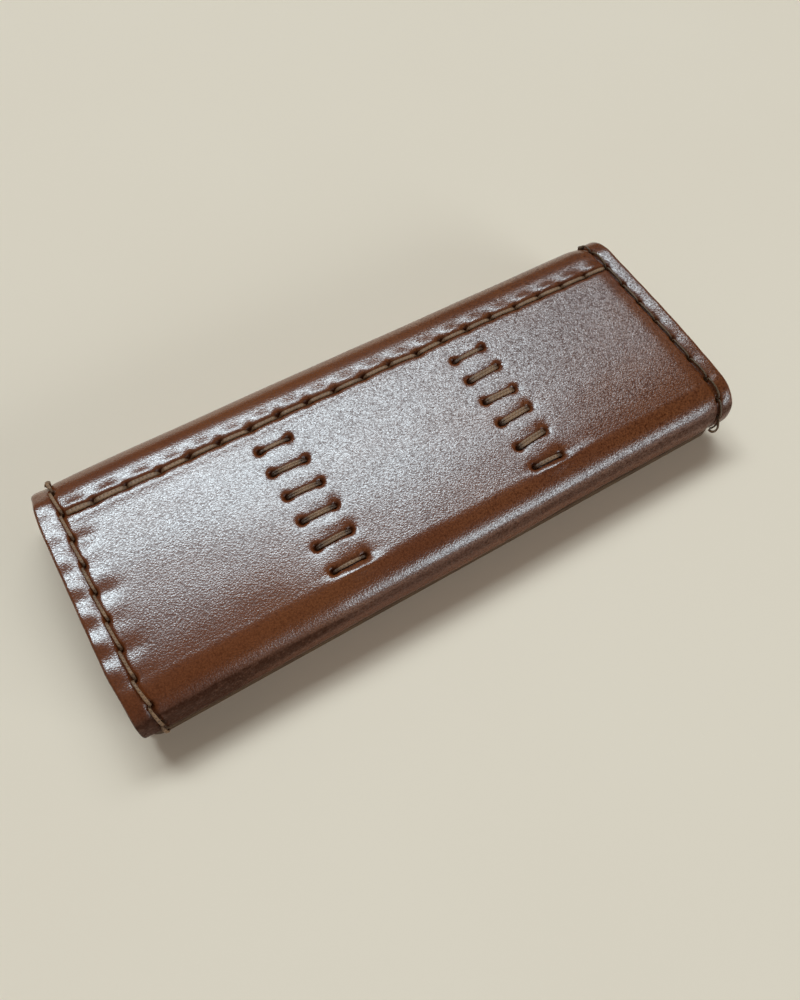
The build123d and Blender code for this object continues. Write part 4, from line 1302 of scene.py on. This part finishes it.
# Soft light from a high window behind the case, a lower one in front of it to
# the right, and a dim room. The rest is what the pale floor throws back.
world = bpy.data.worlds.new("studio")
world.use_nodes = True
wt = world.node_tree
wt.nodes.clear()
w_out = wt.nodes.new("ShaderNodeOutputWorld")
w_bg = wt.nodes.new("ShaderNodeBackground")
wt.links.new(w_bg.outputs[0], w_out.inputs["Surface"])
t = Tree(wt)
sep = wt.nodes.new("ShaderNodeSeparateXYZ")
wt.links.new(t.coords("Generated"), sep.inputs[0])
dx, dy, dz = sep.outputs["X"], sep.outputs["Y"], sep.outputs["Z"]


def soft(value, a, b, lo=0.0, hi=1.0):
    n = wt.nodes.new("ShaderNodeMapRange")
    n.interpolation_type = "SMOOTHSTEP"
    n.inputs["From Min"].default_value = a
    n.inputs["From Max"].default_value = b
    n.inputs["To Min"].default_value = lo
    n.inputs["To Max"].default_value = hi
    wt.links.new(value, n.inputs["Value"])
    return n.outputs["Result"]


def product(*terms):
    out = terms[0]
    for term in terms[1:]:
        out = t.math("MULTIPLY", out, term)
    return out


above = soft(dz, 0.02, 0.08)
near = t.math("ADD", dy, t.math("SUBTRACT", soft(dx, 0.36, 0.52, 0.0, 0.054), soft(dx, 0.02, 0.18, 0.045, 0.0)))
far = t.math("ADD", dy, t.math("SUBTRACT", soft(dx, 0.20, 0.42, 0.0, 0.10), soft(dx, -0.02, 0.14, 0.080, 0.0)))
window = product(soft(near, 0.322, 0.376), soft(far, 0.54, 0.645, 1, 0), soft(dx, -0.34, -0.22),
                 soft(dx, 0.36, 0.46, 1.0, 0.47), soft(dx, 0.54, 0.64, 1, 0), above)
low_part = t.math("ADD", soft(dx, -0.10, 0.16, 0.24, 0.76), soft(dx, 0.20, 0.32, 0.0, 0.50))
high_part = soft(dx, -0.06, 0.26, 1.50, 1.38)
share = soft(dy, 0.455, 0.56)
window = t.math("MULTIPLY", window, t.math("ADD", low_part, t.math("MULTIPLY", share, t.math("SUBTRACT", high_part, low_part))))
side = t.math("DIVIDE", dx, t.math("MAXIMUM", t.math("MULTIPLY", dy, -1.0), 0.02))   # tan of the bearing
rise = t.math("SUBTRACT", dz, soft(side, 0.35, 0.75, 0.0, 0.10))
low = product(soft(rise, 0.07, 0.19), soft(dz, 0.36, 0.48, 1, 0), soft(dy, -0.55, -0.65), soft(side, 0.05, 0.42),
              soft(side, 0.32, 0.58, 1.0, 0.78), soft(side, 1.0, 1.3, 1, 0))
t.link(t.math("ADD", t.math("MULTIPLY", window, 10.4), t.math("MULTIPLY", low, 9.0)), w_bg.inputs["Strength"])
w_bg.inputs["Color"].default_value = (0.76, 0.92, 1.0, 1)
w_room = wt.nodes.new("ShaderNodeBackground")
w_room.inputs["Color"].default_value = (1.0, 0.89, 0.74, 1)
t.link(soft(dz, 0.0, 0.45, 0.09, 0.15), w_room.inputs["Strength"])
w_sum = wt.nodes.new("ShaderNodeAddShader")
wt.links.new(w_bg.outputs[0], w_sum.inputs[0])
wt.links.new(w_room.outputs[0], w_sum.inputs[1])
wt.links.new(w_sum.outputs[0], w_out.inputs["Surface"])
bpy.context.scene.world = world
bpy.context.scene.view_settings.view_transform = "Standard"
bpy.context.scene.view_settings.look = "None"

# --------------------------------------------------------------------- camera
cam_data = bpy.data.cameras.new("camera")
cam = bpy.data.objects.new("camera", cam_data)
right = Vector((0.85487, -0.51609, 0.05328))
down = Vector((-0.43883, -0.77402, -0.45642))
forward = right.cross(down)
right.normalize()
forward.normalize()
down = forward.cross(right)
rot = Matrix((right, -down, -forward)).transposed().to_4x4()
cam.matrix_world = Matrix.Translation(Vector((-0.04078, -0.05540, 0.12346))) @ rot
cam_data.sensor_fit = "AUTO"
cam_data.sensor_width = 36.0
cam_data.lens = 806.19 / 1000 * 36.0
cam_data.clip_start = 0.005
cam_data.clip_end = 20
bpy.context.scene.collection.objects.link(cam)
bpy.context.scene.camera = cam
